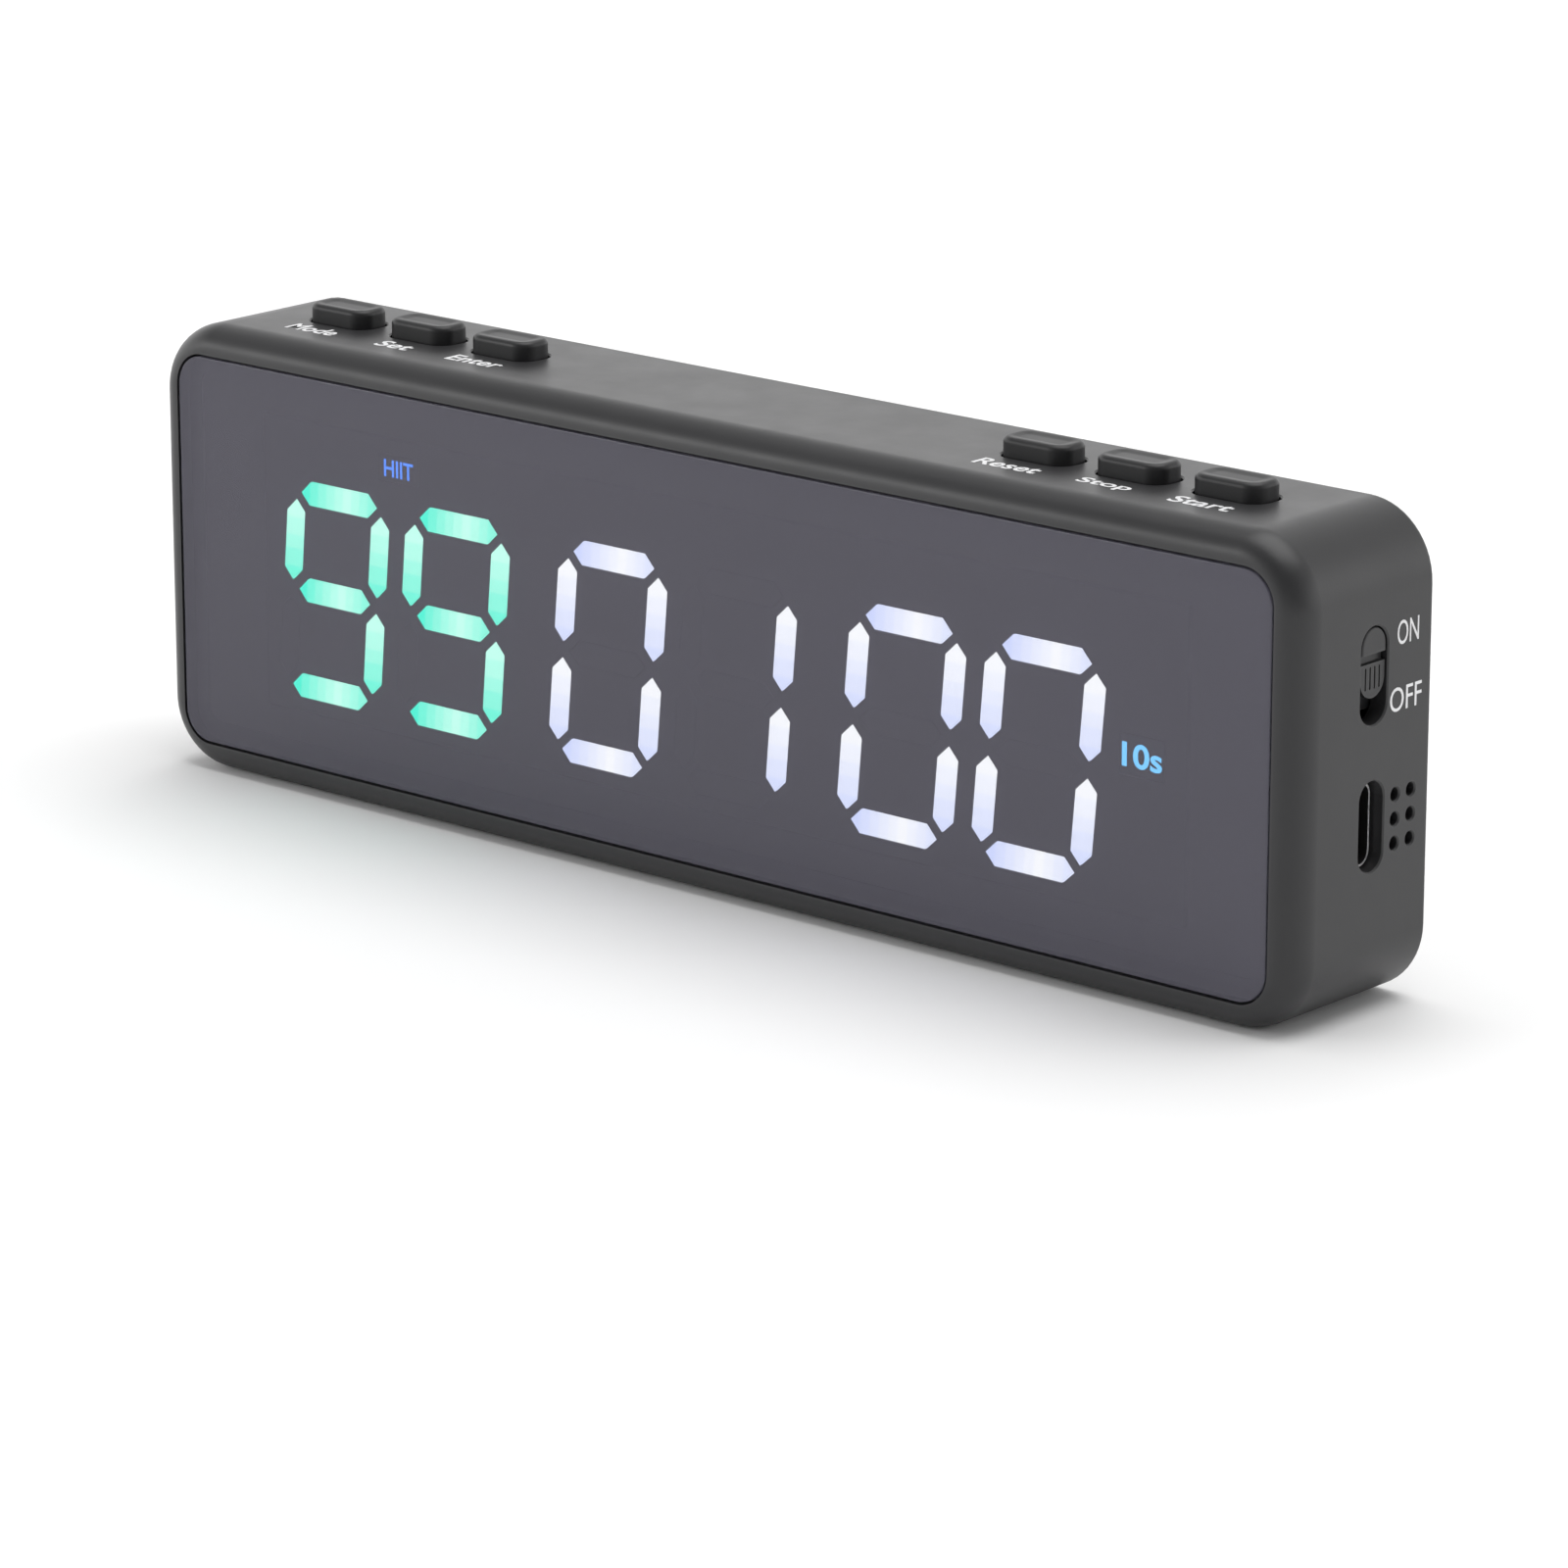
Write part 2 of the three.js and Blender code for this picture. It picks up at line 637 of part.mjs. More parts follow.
// A bar with pointed ends, centred on (x, z) of the digit's upright plane and then slanted.
function segmentShape(x, z, length, grow, upright) {
  const tip = length / 2 + grow * Math.SQRT2;
  const half = segmentThickness / 2 + grow;
  const shoulder = tip - half;
  const corners = [
    [-tip, 0],
    [-shoulder, -half],
    [shoulder, -half],
    [tip, 0],
    [shoulder, half],
    [-shoulder, half],
  ];
  const points = corners.map(([along, across]) => {
    const px = x + (upright ? -across : along);
    const pz = z + (upright ? along : across);
    return new THREE.Vector2(px + slant * pz, pz);
  });
  return new THREE.Shape(points);
}

// The seven bars of a digit, centred on its middle.
function segmentShapes(grow) {
  const postLength = digitHeight / 2 - 2 * postTipGap;
  const shapes = [];
  for (const level of [-1, 0, 1]) {
    const barLength = digitWidth - 2 * (level ? barTipGap : middleBarTipGap);
    shapes.push(segmentShape(0, (level * digitHeight) / 2, barLength, grow, false));
  }
  for (const side of [-1, 1]) {
    for (const half of [-1, 1]) {
      shapes.push(segmentShape((side * digitWidth) / 2, (half * digitHeight) / 4, postLength, grow, true));
    }
  }
  return shapes;
}

function slantedPlate(grow) {
  const halfWidth = plateWidth / 2 + grow;
  const halfHeight = plateHeight / 2 + grow;
  const corners = [
    [-halfWidth, -halfHeight],
    [halfWidth, -halfHeight],
    [halfWidth, halfHeight],
    [-halfWidth, halfHeight],
  ];
  return new THREE.Shape(corners.map(([x, z]) => new THREE.Vector2(x + slant * z, z)));
}

// The light pieces of one digit: a plate with seven raised bars that fill the frame's windows.
function digitDiffuser() {
  let digit = pull(slantedPlate(0), "Y", plateFrontY, plateFrontY + diffuserPlate);
  for (const shape of segmentShapes(0)) {
    digit = digit.add(pull(shape, "Y", frameFrontY, plateFrontY + diffuserPlate / 2));
  }
  return digit;
}

// A small window piece with a flange behind it.
function signDiffuser({ width, height }) {
  const back = plateFrontY + diffuserPlate;
  const window = block(-width / 2, width / 2, frameFrontY, back, -height / 2, height / 2);
  const halfWidth = width / 2 + signFlange;
  const halfHeight = height / 2 + signFlange;
  return window.add(block(-halfWidth, halfWidth, plateFrontY, back, -halfHeight, halfHeight));
}

// The opaque frame that keeps the light of each bar apart.
function displayFrame() {
  const rear = boardFrontY - stackGap;
  const pocketY = plateFrontY - stackGap;
  const pastRear = rear + cutPast;
  const pastFront = frameFrontY - cutPast;
  let frame = block(-frameHalfWidth, frameHalfWidth, frameFrontY, rear, frameBottomZ, frameTopZ);
  for (const x of digitCentres) {
    const pocket = pull(slantedPlate(dropInGap), "Y", pocketY, pastRear);
    frame = frame.subtract(pocket.translate([x, 0, displayZ]));
    for (const shape of segmentShapes(segmentGap)) {
      const window = pull(shape, "Y", pastFront, pocketY + cutStart);
      frame = frame.subtract(window.translate([x, 0, displayZ]));
    }
  }
  for (const { x, z, width, height } of signs) {
    const halfX = width / 2 + segmentGap;
    const halfZ = height / 2 + segmentGap;
    frame = frame.subtract(block(x - halfX, x + halfX, pastFront, pastRear, z - halfZ, z + halfZ));
    const reachX = width / 2 + signFlange + dropInGap;
    const reachZ = height / 2 + signFlange + dropInGap;
    frame = frame.subtract(block(x - reachX, x + reachX, pocketY, pastRear, z - reachZ, z + reachZ));
  }
  const earFront = innerFrontY + stackGap;
  const ear = block(
    -frameHalfWidth - earReach,
    frameHalfWidth + earReach,
    earFront,
    earFront + earThickness,
    displayZ - earHeight / 2,
    displayZ + earHeight / 2,
  );
  const middle = block(
    -frameHalfWidth + frameBorder / 2,
    frameHalfWidth - frameBorder / 2,
    earFront - cutPast,
    earFront + earThickness + cutPast,
    displayZ - earHeight,
    displayZ + earHeight,
  );
  return frame.add(ear.subtract(middle));
}

// ---------------------------------------------------------------- board and what it carries

function mainBoard() {
  const pastFront = boardFrontY - cutPast;
  const pastBack = boardBackY + cutPast;
  const notchReach = bossRadius + dropInGap;
  let board = block(-boardHalfWidth, boardHalfWidth, boardFrontY, boardBackY, boardBottomZ, boardTopZ);
  // Each corner gets a notch with a round inner corner, where it passes the case's screw boss.
  for (const { x, z } of bosses) {
    const sideX = Math.sign(x);
    const sideZ = Math.sign(z - middleZ);
    board = board.subtract(rodY(notchReach, pastFront, pastBack, x, z));
    const notch = (insideX, insideZ) => {
      const ends = [insideX, sideX * caseWidth].sort((a, b) => a - b);
      const levels = [insideZ, middleZ + sideZ * caseHeight].sort((a, b) => a - b);
      board = board.subtract(block(ends[0], ends[1], pastFront, pastBack, levels[0], levels[1]));
    };
    notch(x, z - sideZ * notchReach);
    notch(x - sideX * notchReach, z);
  }
  for (const { x, z } of posts) {
    board = board.subtract(rodY(boardScrewRadius + screwGap, pastFront, pastBack, x, z));
  }
  const sliderLow = knobRestZ - sliderTravel - sliderFlangeLength / 2 - dropInGap;
  const sliderHigh = knobRestZ + sliderFlangeLength / 2 + dropInGap;
  const sliderNotchX = sliderFlangeInnerX - dropInGap;
  board = board.subtract(block(sliderNotchX, caseWidth, pastFront, pastBack, sliderLow, sliderHigh));
  const led = (x, z) => {
    const halfX = ledWidth / 2;
    const halfZ = ledWidth / 4;
    const front = boardFrontY - ledThickness;
    return block(x - halfX, x + halfX, front, boardFrontY + ledSunk, z - halfZ, z + halfZ);
  };
  for (const x of digitCentres) {
    for (const level of [-1, 0, 1]) {
      const z = (level * digitHeight) / 2;
      board = board.add(led(x + slant * z, displayZ + z));
    }
    for (const side of [-1, 1]) {
      for (const half of [-1, 1]) {
        const z = (half * digitHeight) / 4;
        board = board.add(led(x + (side * digitWidth) / 2 + slant * z, displayZ + z));
      }
    }
  }
  for (const { x, z } of signs) board = board.add(led(x, z));
  return board;
}

// The body of a push switch that is pressed along the board. Its top is at z = 0.
function pushSwitchBody() {
  const body = block(
    -switchLength / 2,
    switchLength / 2,
    -switchThickness / 2,
    switchThickness / 2,
    -switchHeight,
    0,
  );
  const boreDepth = plungerSunk + buttonTravel + dropInGap;
  return body.subtract(rodZ(plungerRadius + plungerBore, -boreDepth, cutPast));
}

function switchPlunger() {
  return rodZ(plungerRadius, -plungerSunk, plungerProud);
}

// A button cap with its flange and stem. Its local zero is the case's top face.
function buttonCap() {
  const edge = { width: capEdgeRound, depth: capEdgeRound, steps: edgeSteps };
  const flangeTop = flangeTopZ - caseHeight;
  const flangeBottom = flangeBottomZ - caseHeight;
  const shaft = pull(roundedRectangle(capLength, capDepth, capRadius), "Z", flangeBottom, capProud, edge);
  const flangeOutline = roundedRectangle(
    capLength + 2 * capFlange,
    capDepth + 2 * capFlange,
    capRadius + capFlange,
  );
  const flange = pull(flangeOutline, "Z", flangeBottom, flangeTop);
  const stem = block(
    -stemLength / 2,
    stemLength / 2,
    -stemDepth / 2,
    stemDepth / 2,
    stemBottomZ - caseHeight,
    flangeTop,
  );
  return shaft.add(flange).add(stem);
}

function controllerChip() {
  const edge = { width: chipEdge, depth: chipEdge, steps: 1 };
  const outline = roundedRectangle(chipSize, chipSize, chipCorner);
  return pull(outline, "Y", mountedY, mountedY + chipThickness, edge);
}

// A sounder can that stands on the board, with its port in the rear face.
function buzzer() {
  const back = mountedY + buzzerHeight;
  const can = turnedY([
    [0, mountedY],
    [buzzerRadius, mountedY],
    [buzzerRadius, back - buzzerRim],
    [buzzerRadius - buzzerRim, back],
    [0, back],
  ]);
  return can.subtract(rodY(buzzerPortRadius, mountedY + buzzerHeight / 2, back + cutPast));
}

function batteryPad() {
  const halfLength = batteryLength / 2 - batteryPadMargin;
  const halfHeight = batteryHeight / 2 - batteryPadMargin;
  const back = mountedY + batteryPadThickness;
  return block(-halfLength, halfLength, mountedY, back, -halfHeight, halfHeight);
}

// A pouch cell with soft edges and the flat seal at its lead end.
function battery() {
  const edge = { width: batteryRound, depth: batteryRound, steps: edgeSteps };
  const outline = roundedRectangle(batteryLength, batteryHeight, batteryCorner);
  const pouch = pull(outline, "Y", batteryFrontY, batteryFrontY + batteryThickness, edge);
  const sealFront = batteryFrontY + (batteryThickness - sealThickness) / 2;
  const sealHalf = batteryHeight / 2 - sealMargin;
  const endX = batteryLength / 2;
  return pouch.add(
    block(endX - sealRoot, endX + sealReach, sealFront, sealFront + sealThickness, -sealHalf, sealHalf),
  );
}

// The white socket on the board, open to the left.
function batterySocket() {
  const half = socketWidth / 2;
  const shell = block(0, socketLength, mountedY, mountedY + socketThickness, -half, half);
  const hollow = block(
    -cutPast,
    socketLength - 2 * socketWall,
    mountedY + socketWall,
    mountedY + socketThickness - socketWall,
    -half + socketWall,
    half - socketWall,
  );
  return shell.subtract(hollow);
}

const plugMiddleY = mountedY + socketThickness / 2;
const plugRearX = socketLength - 2 * socketWall - dropInGap - plugLength;

function batteryPlug() {
  const halfY = socketThickness / 2 - socketWall - plugGap;
  const halfZ = socketWidth / 2 - socketWall - plugGap;
  const endX = plugRearX + plugLength;
  return block(plugRearX, endX, plugMiddleY - halfY, plugMiddleY + halfY, -halfZ, halfZ);
}

// One lead from the pouch's seal to the plug. It bows a little to the back, and the two leads
// close up on their way.
function batteryLead(side) {
  const startX = batteryX + batteryLength / 2 + sealReach + leadGap;
  const startY = batteryFrontY + batteryThickness / 2;
  const endX = socketX + plugRearX - dropInGap;
  const { lerp } = THREE.MathUtils;
  const points = [0, 1 / 3, 2 / 3, 1].map((along) => {
    const x = lerp(startX, endX, along);
    const y = lerp(startY, plugMiddleY, along) + leadSlack * Math.sin(Math.PI * along);
    const spread = leadPitch * lerp(leadSpread, 1, along);
    return new THREE.Vector3(x, y, batteryZ + (side * spread) / 2);
  });
  const section = new THREE.Shape();
  section.absarc(0, 0, leadRadius, 0, 2 * Math.PI);
  const geometry = new THREE.ExtrudeGeometry(section, {
    steps: leadSections,
    extrudePath: new THREE.CatmullRomCurve3(points),
    curveSegments: leadSides,
  });
  return solidFrom(geometry);
}

// ---------------------------------------------------------------- power slider

function slideSwitchBody() {
  const halfY = slideBodyThickness / 2;
  const halfZ = slideBodyLength / 2;
  const body = block(-slideBodyDepth, 0, -halfY, halfY, -halfZ, halfZ);
  const reachY = leverWidth / 2 + dropInGap;
  const reachZ = (leverLength + sliderTravel) / 2 + dropInGap;
  const bottom = -leverIntoSwitch - dropInGap;
  return body.subtract(block(bottom, cutPast, -reachY, reachY, -reachZ, reachZ));
}

// The switch's own lever, in the position where the timer is on.
function slideSwitchLever() {
  const rootX = slideBodyEndX - leverIntoSwitch;
  const tipX = sliderFlangeInnerX + leverIntoKnob;
  const halfY = leverWidth / 2;
  const halfZ = leverLength / 2;
  return block(rootX, tipX, -halfY, halfY, -halfZ, halfZ);
}

// The knob that fingers push: a long button in the slot, with a groove across it, a sunken grip
// below the groove and a flange inside.
function sliderKnob() {
  const edge = { width: knobEdge, depth: knobEdge, steps: edgeSteps };
  const outline = roundedRectangle(knobWidth, knobLength, knobWidth / 2);
  const flange = roundedRectangle(sliderFlangeWidth, sliderFlangeLength, sliderFlangeCorner);
  const button = pull(outline, "X", sliderFlangeInnerX, knobFaceX, edge);
  const knob = button.add(pull(flange, "X", sliderFlangeInnerX, sliderFlangeOuterX));
  const grooveTop = knobLength / 2 - grooveFromTop + grooveWidth / 2;
  const grooveBottom = grooveTop - grooveWidth;
  const grooveFloor = knobFaceX - grooveDepth;
  const groove = block(grooveFloor, caseWidth, -knobWidth, knobWidth, grooveBottom, grooveTop);
  const gripFace = knobFaceX - gripSunk;
  const gripTop = (grooveBottom + grooveTop) / 2;
  const overGrip = block(gripFace, caseWidth, -knobWidth, knobWidth, -knobLength, gripTop);
  const halfY = leverWidth / 2 + dropInGap;
  const halfZ = leverLength / 2 + dropInGap;
  const leverEndX = sliderFlangeInnerX + leverIntoKnob + dropInGap;
  const leverHole = block(sliderFlangeInnerX - cutPast, leverEndX, -halfY, halfY, -halfZ, halfZ);
  return knob.subtract(groove).subtract(overGrip).subtract(leverHole);
}

// ---------------------------------------------------------------- charging socket

function usbShell() {
  const outer = roundedRectangle(usbShellWidth, usbShellLength, usbShellWidth / 2);
  const innerWidth = usbShellWidth - 2 * usbShellWall;
  const innerLength = usbShellLength - 2 * usbShellWall;
  const inner = roundedRectangle(innerWidth, innerLength, innerWidth / 2);
  const bore = pull(inner, "X", usbRearX - cutPast, usbMouthX + cutPast);
  return pull(outer, "X", usbRearX, usbMouthX).subtract(bore);
}

// The insulator: a block that closes the shell's rear, and the tongue with the contacts.
function usbTongue() {
  const width = usbShellWidth - 2 * usbShellWall - 2 * stackGap;
  const length = usbShellLength - 2 * usbShellWall - 2 * stackGap;
  const base = pull(roundedRectangle(width, length, width / 2), "X", usbRearX, usbRearX + usbBlockDepth);
  const tongue = block(
    usbRearX + usbBlockDepth / 2,
    usbMouthX - tongueSunk,
    -tongueThickness / 2,
    tongueThickness / 2,
    -tongueLength / 2,
    tongueLength / 2,
  );
  return base.add(tongue);
}

// ---------------------------------------------------------------- assembly

place("main_housing", mainHousing(), finishes.case);
place("rear_cover", rearCover(), finishes.case);
place("front_lens", frontLens(), finishes.lens);
place("lens_adhesive", lensAdhesive(), finishes.adhesive);
place("display_frame", displayFrame(), finishes.displayFrame);
digitCentres.forEach((x, i) => {
  const finish = i < greenDigits ? finishes.greenLight : finishes.whiteLight;
  place(`digit_${i + 1}`, digitDiffuser(), finish, x, 0, displayZ);
});
for (const sign of signs) {
  place(sign.name, signDiffuser(sign), finishes.blueLight, sign.x, 0, sign.z);
}
place("main_board", mainBoard(), finishes.board);
place("controller_chip", controllerChip(), finishes.component, chipX, 0, middleZ);
place("buzzer", buzzer(), finishes.component, buzzerX, 0, usbFromBottom);
place("battery_pad", batteryPad(), finishes.foam, batteryX, 0, batteryZ);
place("battery", battery(), finishes.battery, batteryX, 0, batteryZ);
place("battery_socket", batterySocket(), finishes.connector, socketX, 0, batteryZ);
place("battery_plug", batteryPlug(), finishes.connector, socketX, 0, batteryZ);
place("battery_lead_red", batteryLead(1), finishes.redLead);
place("battery_lead_black", batteryLead(-1), finishes.blackLead);
for (const { name, x } of buttons) {
  place(`button_${name}`, buttonCap(), finishes.rubber, x, buttonY, caseHeight);
  place(`plunger_${name}`, switchPlunger(), finishes.component, x, buttonY, switchTopZ);
  place(`push_switch_${name}`, pushSwitchBody(), finishes.component, x, buttonY, switchTopZ);
}
place("slider_knob", sliderKnob(), finishes.case, 0, slideY, knobRestZ);
place("slide_switch_lever", slideSwitchLever(), finishes.component, 0, slideY, knobRestZ);
place("slide_switch_body", slideSwitchBody(), finishes.steel, slideBodyEndX, slideY, slotZ);
place("usb_shell", usbShell(), finishes.steel, 0, usbY, usbFromBottom);
place("usb_tongue", usbTongue(), finishes.component, 0, usbY, usbFromBottom);
[["left", -magnetX], ["right", magnetX]].forEach(([side, x]) => {
  const disc = rodY(magnetRadius, 0, magnetThickness, 0, 0, wideRoundSteps);
  place(`magnet_${side}`, disc, finishes.steel, x, magnetFrontY, middleZ);
});
bosses.forEach(({ x, z }, i) => {
  place(`cover_screw_${i + 1}`, countersunkScrew(), finishes.steel, x, backY - coverScrewSunk, z);
});
posts.forEach(({ x, z }, i) => {
  place(`board_screw_${i + 1}`, panScrew(), finishes.steel, x, boardBackY, z);
});

export default timer;
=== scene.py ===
# %% [markdown]
# # A gym round timer
# The timer is a slim bar that stands on its long side. A smoked front lens hides six digits, and
# the case carries push buttons on top and a slider, a charging socket and sound holes in its right
# end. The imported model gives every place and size, so the first step loads it and keeps its box.

# %% Load the frame
import math

import bmesh
import bpy
from mathutils import Matrix, Vector


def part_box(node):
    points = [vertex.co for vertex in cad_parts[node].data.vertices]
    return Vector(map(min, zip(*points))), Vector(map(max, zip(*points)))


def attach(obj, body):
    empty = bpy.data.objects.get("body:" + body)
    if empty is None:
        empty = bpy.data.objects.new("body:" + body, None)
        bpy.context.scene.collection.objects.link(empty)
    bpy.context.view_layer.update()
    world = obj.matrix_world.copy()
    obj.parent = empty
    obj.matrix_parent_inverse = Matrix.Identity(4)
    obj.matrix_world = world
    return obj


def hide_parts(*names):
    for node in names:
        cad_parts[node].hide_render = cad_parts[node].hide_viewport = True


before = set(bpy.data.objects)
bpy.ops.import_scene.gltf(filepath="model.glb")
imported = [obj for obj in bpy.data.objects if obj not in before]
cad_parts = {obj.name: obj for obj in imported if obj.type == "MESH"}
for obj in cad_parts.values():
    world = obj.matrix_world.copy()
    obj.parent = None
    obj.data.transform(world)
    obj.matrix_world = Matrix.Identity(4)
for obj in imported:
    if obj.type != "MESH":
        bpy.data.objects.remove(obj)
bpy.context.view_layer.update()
MM = 0.001
SCREW_NUMBERS = range(1, 5)
scene = bpy.context.scene
housing_low, housing_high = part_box("main_housing")
cover_low, cover_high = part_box("rear_cover")
lens_low, lens_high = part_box("front_lens")
case_low = Vector(housing_low)
case_high = Vector((housing_high.x, cover_high.y, housing_high.z))
print("case box in mm:", [round(v / MM, 2) for v in (*case_low, *case_high)])

# %% [markdown]
# ## Camera, floor and light
# The timer is seen from the front right and a little above, through a long lens, which keeps its
# edges nearly parallel. A camera can be aimed with a constraint or placed by numbers. Here its
# three directions are worked out from two angles, because then the view can be stated as azimuth
# and elevation and nothing has to be tracked. A plain pale floor and large soft lights follow.

# %% Camera
VIEW_AZIMUTH = math.radians(41.34)
VIEW_ELEVATION = math.radians(15.89)
VIEW_DISTANCE = 717.3 * MM
VIEW_SIDE = 10.03 * MM
VIEW_RISE = -12.91 * MM
FOCAL_LENGTH = 156.6
SENSOR_WIDTH = 36.0
CLIP_NEAR = 10 * MM
CLIP_FAR = 100.0


def add_camera():
    """A camera that looks at the middle of the case's front, slid sideways and down a little."""
    aim = Vector((0, case_low.y, (case_low.z + case_high.z) / 2))
    flat = math.cos(VIEW_ELEVATION)
    ahead = -math.cos(VIEW_AZIMUTH) * flat
    back = Vector((math.sin(VIEW_AZIMUTH) * flat, ahead, math.sin(VIEW_ELEVATION)))
    right = Vector((0, 0, 1)).cross(back).normalized()
    up = back.cross(right)
    data = bpy.data.cameras.new("camera")
    data.lens = FOCAL_LENGTH
    data.sensor_width = SENSOR_WIDTH
    data.clip_start = CLIP_NEAR
    data.clip_end = CLIP_FAR
    camera = bpy.data.objects.new("camera", data)
    scene.collection.objects.link(camera)
    place = aim + back * VIEW_DISTANCE + right * VIEW_SIDE + up * VIEW_RISE
    turn = Matrix((right, up, back)).transposed().to_4x4()
    camera.matrix_world = Matrix.Translation(place) @ turn
    scene.camera = camera
    return place


print("camera stands at", [round(v, 3) for v in add_camera()])

# %% Floor
FLOOR_SIZE = 8.0
FLOOR_COLOUR = (0.97, 0.97, 0.97, 1)
FLOOR_ROUGHNESS = 0.9


def add_floor():
    """One large pale sheet under the case."""
    bm = bmesh.new()
    bmesh.ops.create_grid(bm, x_segments=1, y_segments=1, size=FLOOR_SIZE / 2)
    bmesh.ops.translate(bm, vec=(0, 0, case_low.z), verts=bm.verts)
    data = bpy.data.meshes.new("floor")
    bm.to_mesh(data)
    bm.free()
    floor = bpy.data.objects.new("floor", data)
    scene.collection.objects.link(floor)
    paint = bpy.data.materials.new("floor_paper")
    paint.use_nodes = True
    shader = paint.node_tree.nodes["Principled BSDF"]
    shader.inputs["Base Color"].default_value = FLOOR_COLOUR
    shader.inputs["Roughness"].default_value = FLOOR_ROUGHNESS
    data.materials.append(paint)


add_floor()

# %% Lights
HORIZON_LIGHT = 1.6
ZENITH_LIGHT = 0.3
DIM_SIDE = (0.66, -0.75, 0.0)
DIM_LIGHT = 0.2
FADE_START = math.radians(12)
FADE_STOP = math.radians(48)
CLOTH_RIM = math.radians(80)
CLOTH_CORE = math.radians(25)
EYE_WHITE = 1.1
PANELS = {
    "top_panel": ((0.1, 0.4, 2.2), 2.4, 2.0, 42.0),
    "front_panel": ((-0.76, -0.81, 0.48), 0.5, 0.25, 1.6),
}
scene.view_settings.view_transform = "Standard"
scene.view_settings.look = "None"


def add_world():
    """A light tent that is bright near the horizon, dimmer overhead and dim on one side, where a
    dark cloth hangs. The eye sees plain white."""
    world = bpy.data.worlds.new("light_tent")
    world.use_nodes = True
    nodes, links = world.node_tree.nodes, world.node_tree.links
    background = nodes["Background"]
    place = nodes.new("ShaderNodeTexCoord")
    parts = nodes.new("ShaderNodeSeparateXYZ")
    fade = nodes.new("ShaderNodeMapRange")
    fade.interpolation_type = "SMOOTHSTEP"
    fade.inputs["From Min"].default_value = math.sin(FADE_START)
    fade.inputs["From Max"].default_value = math.sin(FADE_STOP)
    fade.inputs["To Min"].default_value = HORIZON_LIGHT
    fade.inputs["To Max"].default_value = ZENITH_LIGHT
    toward = nodes.new("ShaderNodeVectorMath")
    toward.operation = "DOT_PRODUCT"
    toward.inputs[1].default_value = DIM_SIDE
    cloth = nodes.new("ShaderNodeMapRange")
    cloth.interpolation_type = "SMOOTHSTEP"
    cloth.inputs["From Min"].default_value = math.cos(CLOTH_RIM)
    cloth.inputs["From Max"].default_value = math.cos(CLOTH_CORE)
    cloth.inputs["To Min"].default_value = 1.0
    cloth.inputs["To Max"].default_value = DIM_LIGHT
    both = nodes.new("ShaderNodeMath")
    both.operation = "MULTIPLY"
    seen = nodes.new("ShaderNodeLightPath")
    choose = nodes.new("ShaderNodeMix")
    choose.inputs["B"].default_value = EYE_WHITE
    links.new(place.outputs["Generated"], parts.inputs["Vector"])
    links.new(parts.outputs["Z"], fade.inputs["Value"])
    links.new(seen.outputs["Is Camera Ray"], choose.inputs["Factor"])
    links.new(place.outputs["Generated"], toward.inputs[0])
    links.new(toward.outputs["Value"], cloth.inputs["Value"])
    links.new(fade.outputs["Result"], both.inputs[0])
    links.new(cloth.outputs["Result"], both.inputs[1])
    links.new(both.outputs["Value"], choose.inputs["A"])
    links.new(choose.outputs["Result"], background.inputs["Strength"])
    background.inputs["Color"].default_value = (1, 1, 1, 1)
    scene.world = world


def add_panel(name, place, width, height, power):
    """A soft rectangular light that faces the middle of the case."""
    data = bpy.data.lights.new(name, "AREA")
    data.shape = "RECTANGLE"
    data.size = width
    data.size_y = height
    data.energy = power
    light = bpy.data.objects.new(name, data)
    scene.collection.objects.link(light)
    target = Vector((0, 0, case_high.z / 2))
    light.location = place
    light.rotation_euler = (target - Vector(place)).to_track_quat("-Z", "Y").to_euler()


add_world()
for name, (place, width, height, power) in PANELS.items():
    add_panel(name, place, width, height, power)
print("tent light from horizon to zenith:", HORIZON_LIGHT, ZENITH_LIGHT)

# %% [markdown]
# ## A small kit of finishes
# Moulded parts are never one flat colour. Each finish below mixes slow cloudy changes of colour
# and roughness with a fine grain in the bump, all in the object's own coordinates, which stay
# still when a part moves. Image textures could do it too, but noise has no seams and no edges.


# %% Finish helpers
CLOUD_SCALE = 45
SMEAR_SCALE = 160
WEAR_RADIUS = 0.35 * MM
WEAR_START = 0.004
WEAR_STOP = 0.12
METAL_SHADE = 0.72


def new_finish(name):
    material = bpy.data.materials.new(name)
    material.use_nodes = True
    nodes = material.node_tree.nodes
    return material, nodes, material.node_tree.links, nodes["Principled BSDF"]


def noise(nodes, links, scale, detail=3.0, roughness=0.5, stretch=(1, 1, 1)):
    """A noise texture on Object coordinates. scale is in cycles per metre."""
    place = nodes.new("ShaderNodeTexCoord")
    mapping = nodes.new("ShaderNodeMapping")
    mapping.inputs["Scale"].default_value = stretch
    texture = nodes.new("ShaderNodeTexNoise")
    texture.inputs["Scale"].default_value = scale
    texture.inputs["Detail"].default_value = detail
    texture.inputs["Roughness"].default_value = roughness
    links.new(place.outputs["Object"], mapping.inputs["Vector"])
    links.new(mapping.outputs["Vector"], texture.inputs["Vector"])
    return texture.outputs["Fac"]


def between(nodes, links, factor, low, high, start=0.35, stop=0.65):
    """A number that follows factor from low to high."""
    step = nodes.new("ShaderNodeMapRange")
    step.inputs["From Min"].default_value = start
    step.inputs["From Max"].default_value = stop
    step.inputs["To Min"].default_value = low
    step.inputs["To Max"].default_value = high
    links.new(factor, step.inputs["Value"])
    return step.outputs["Result"]


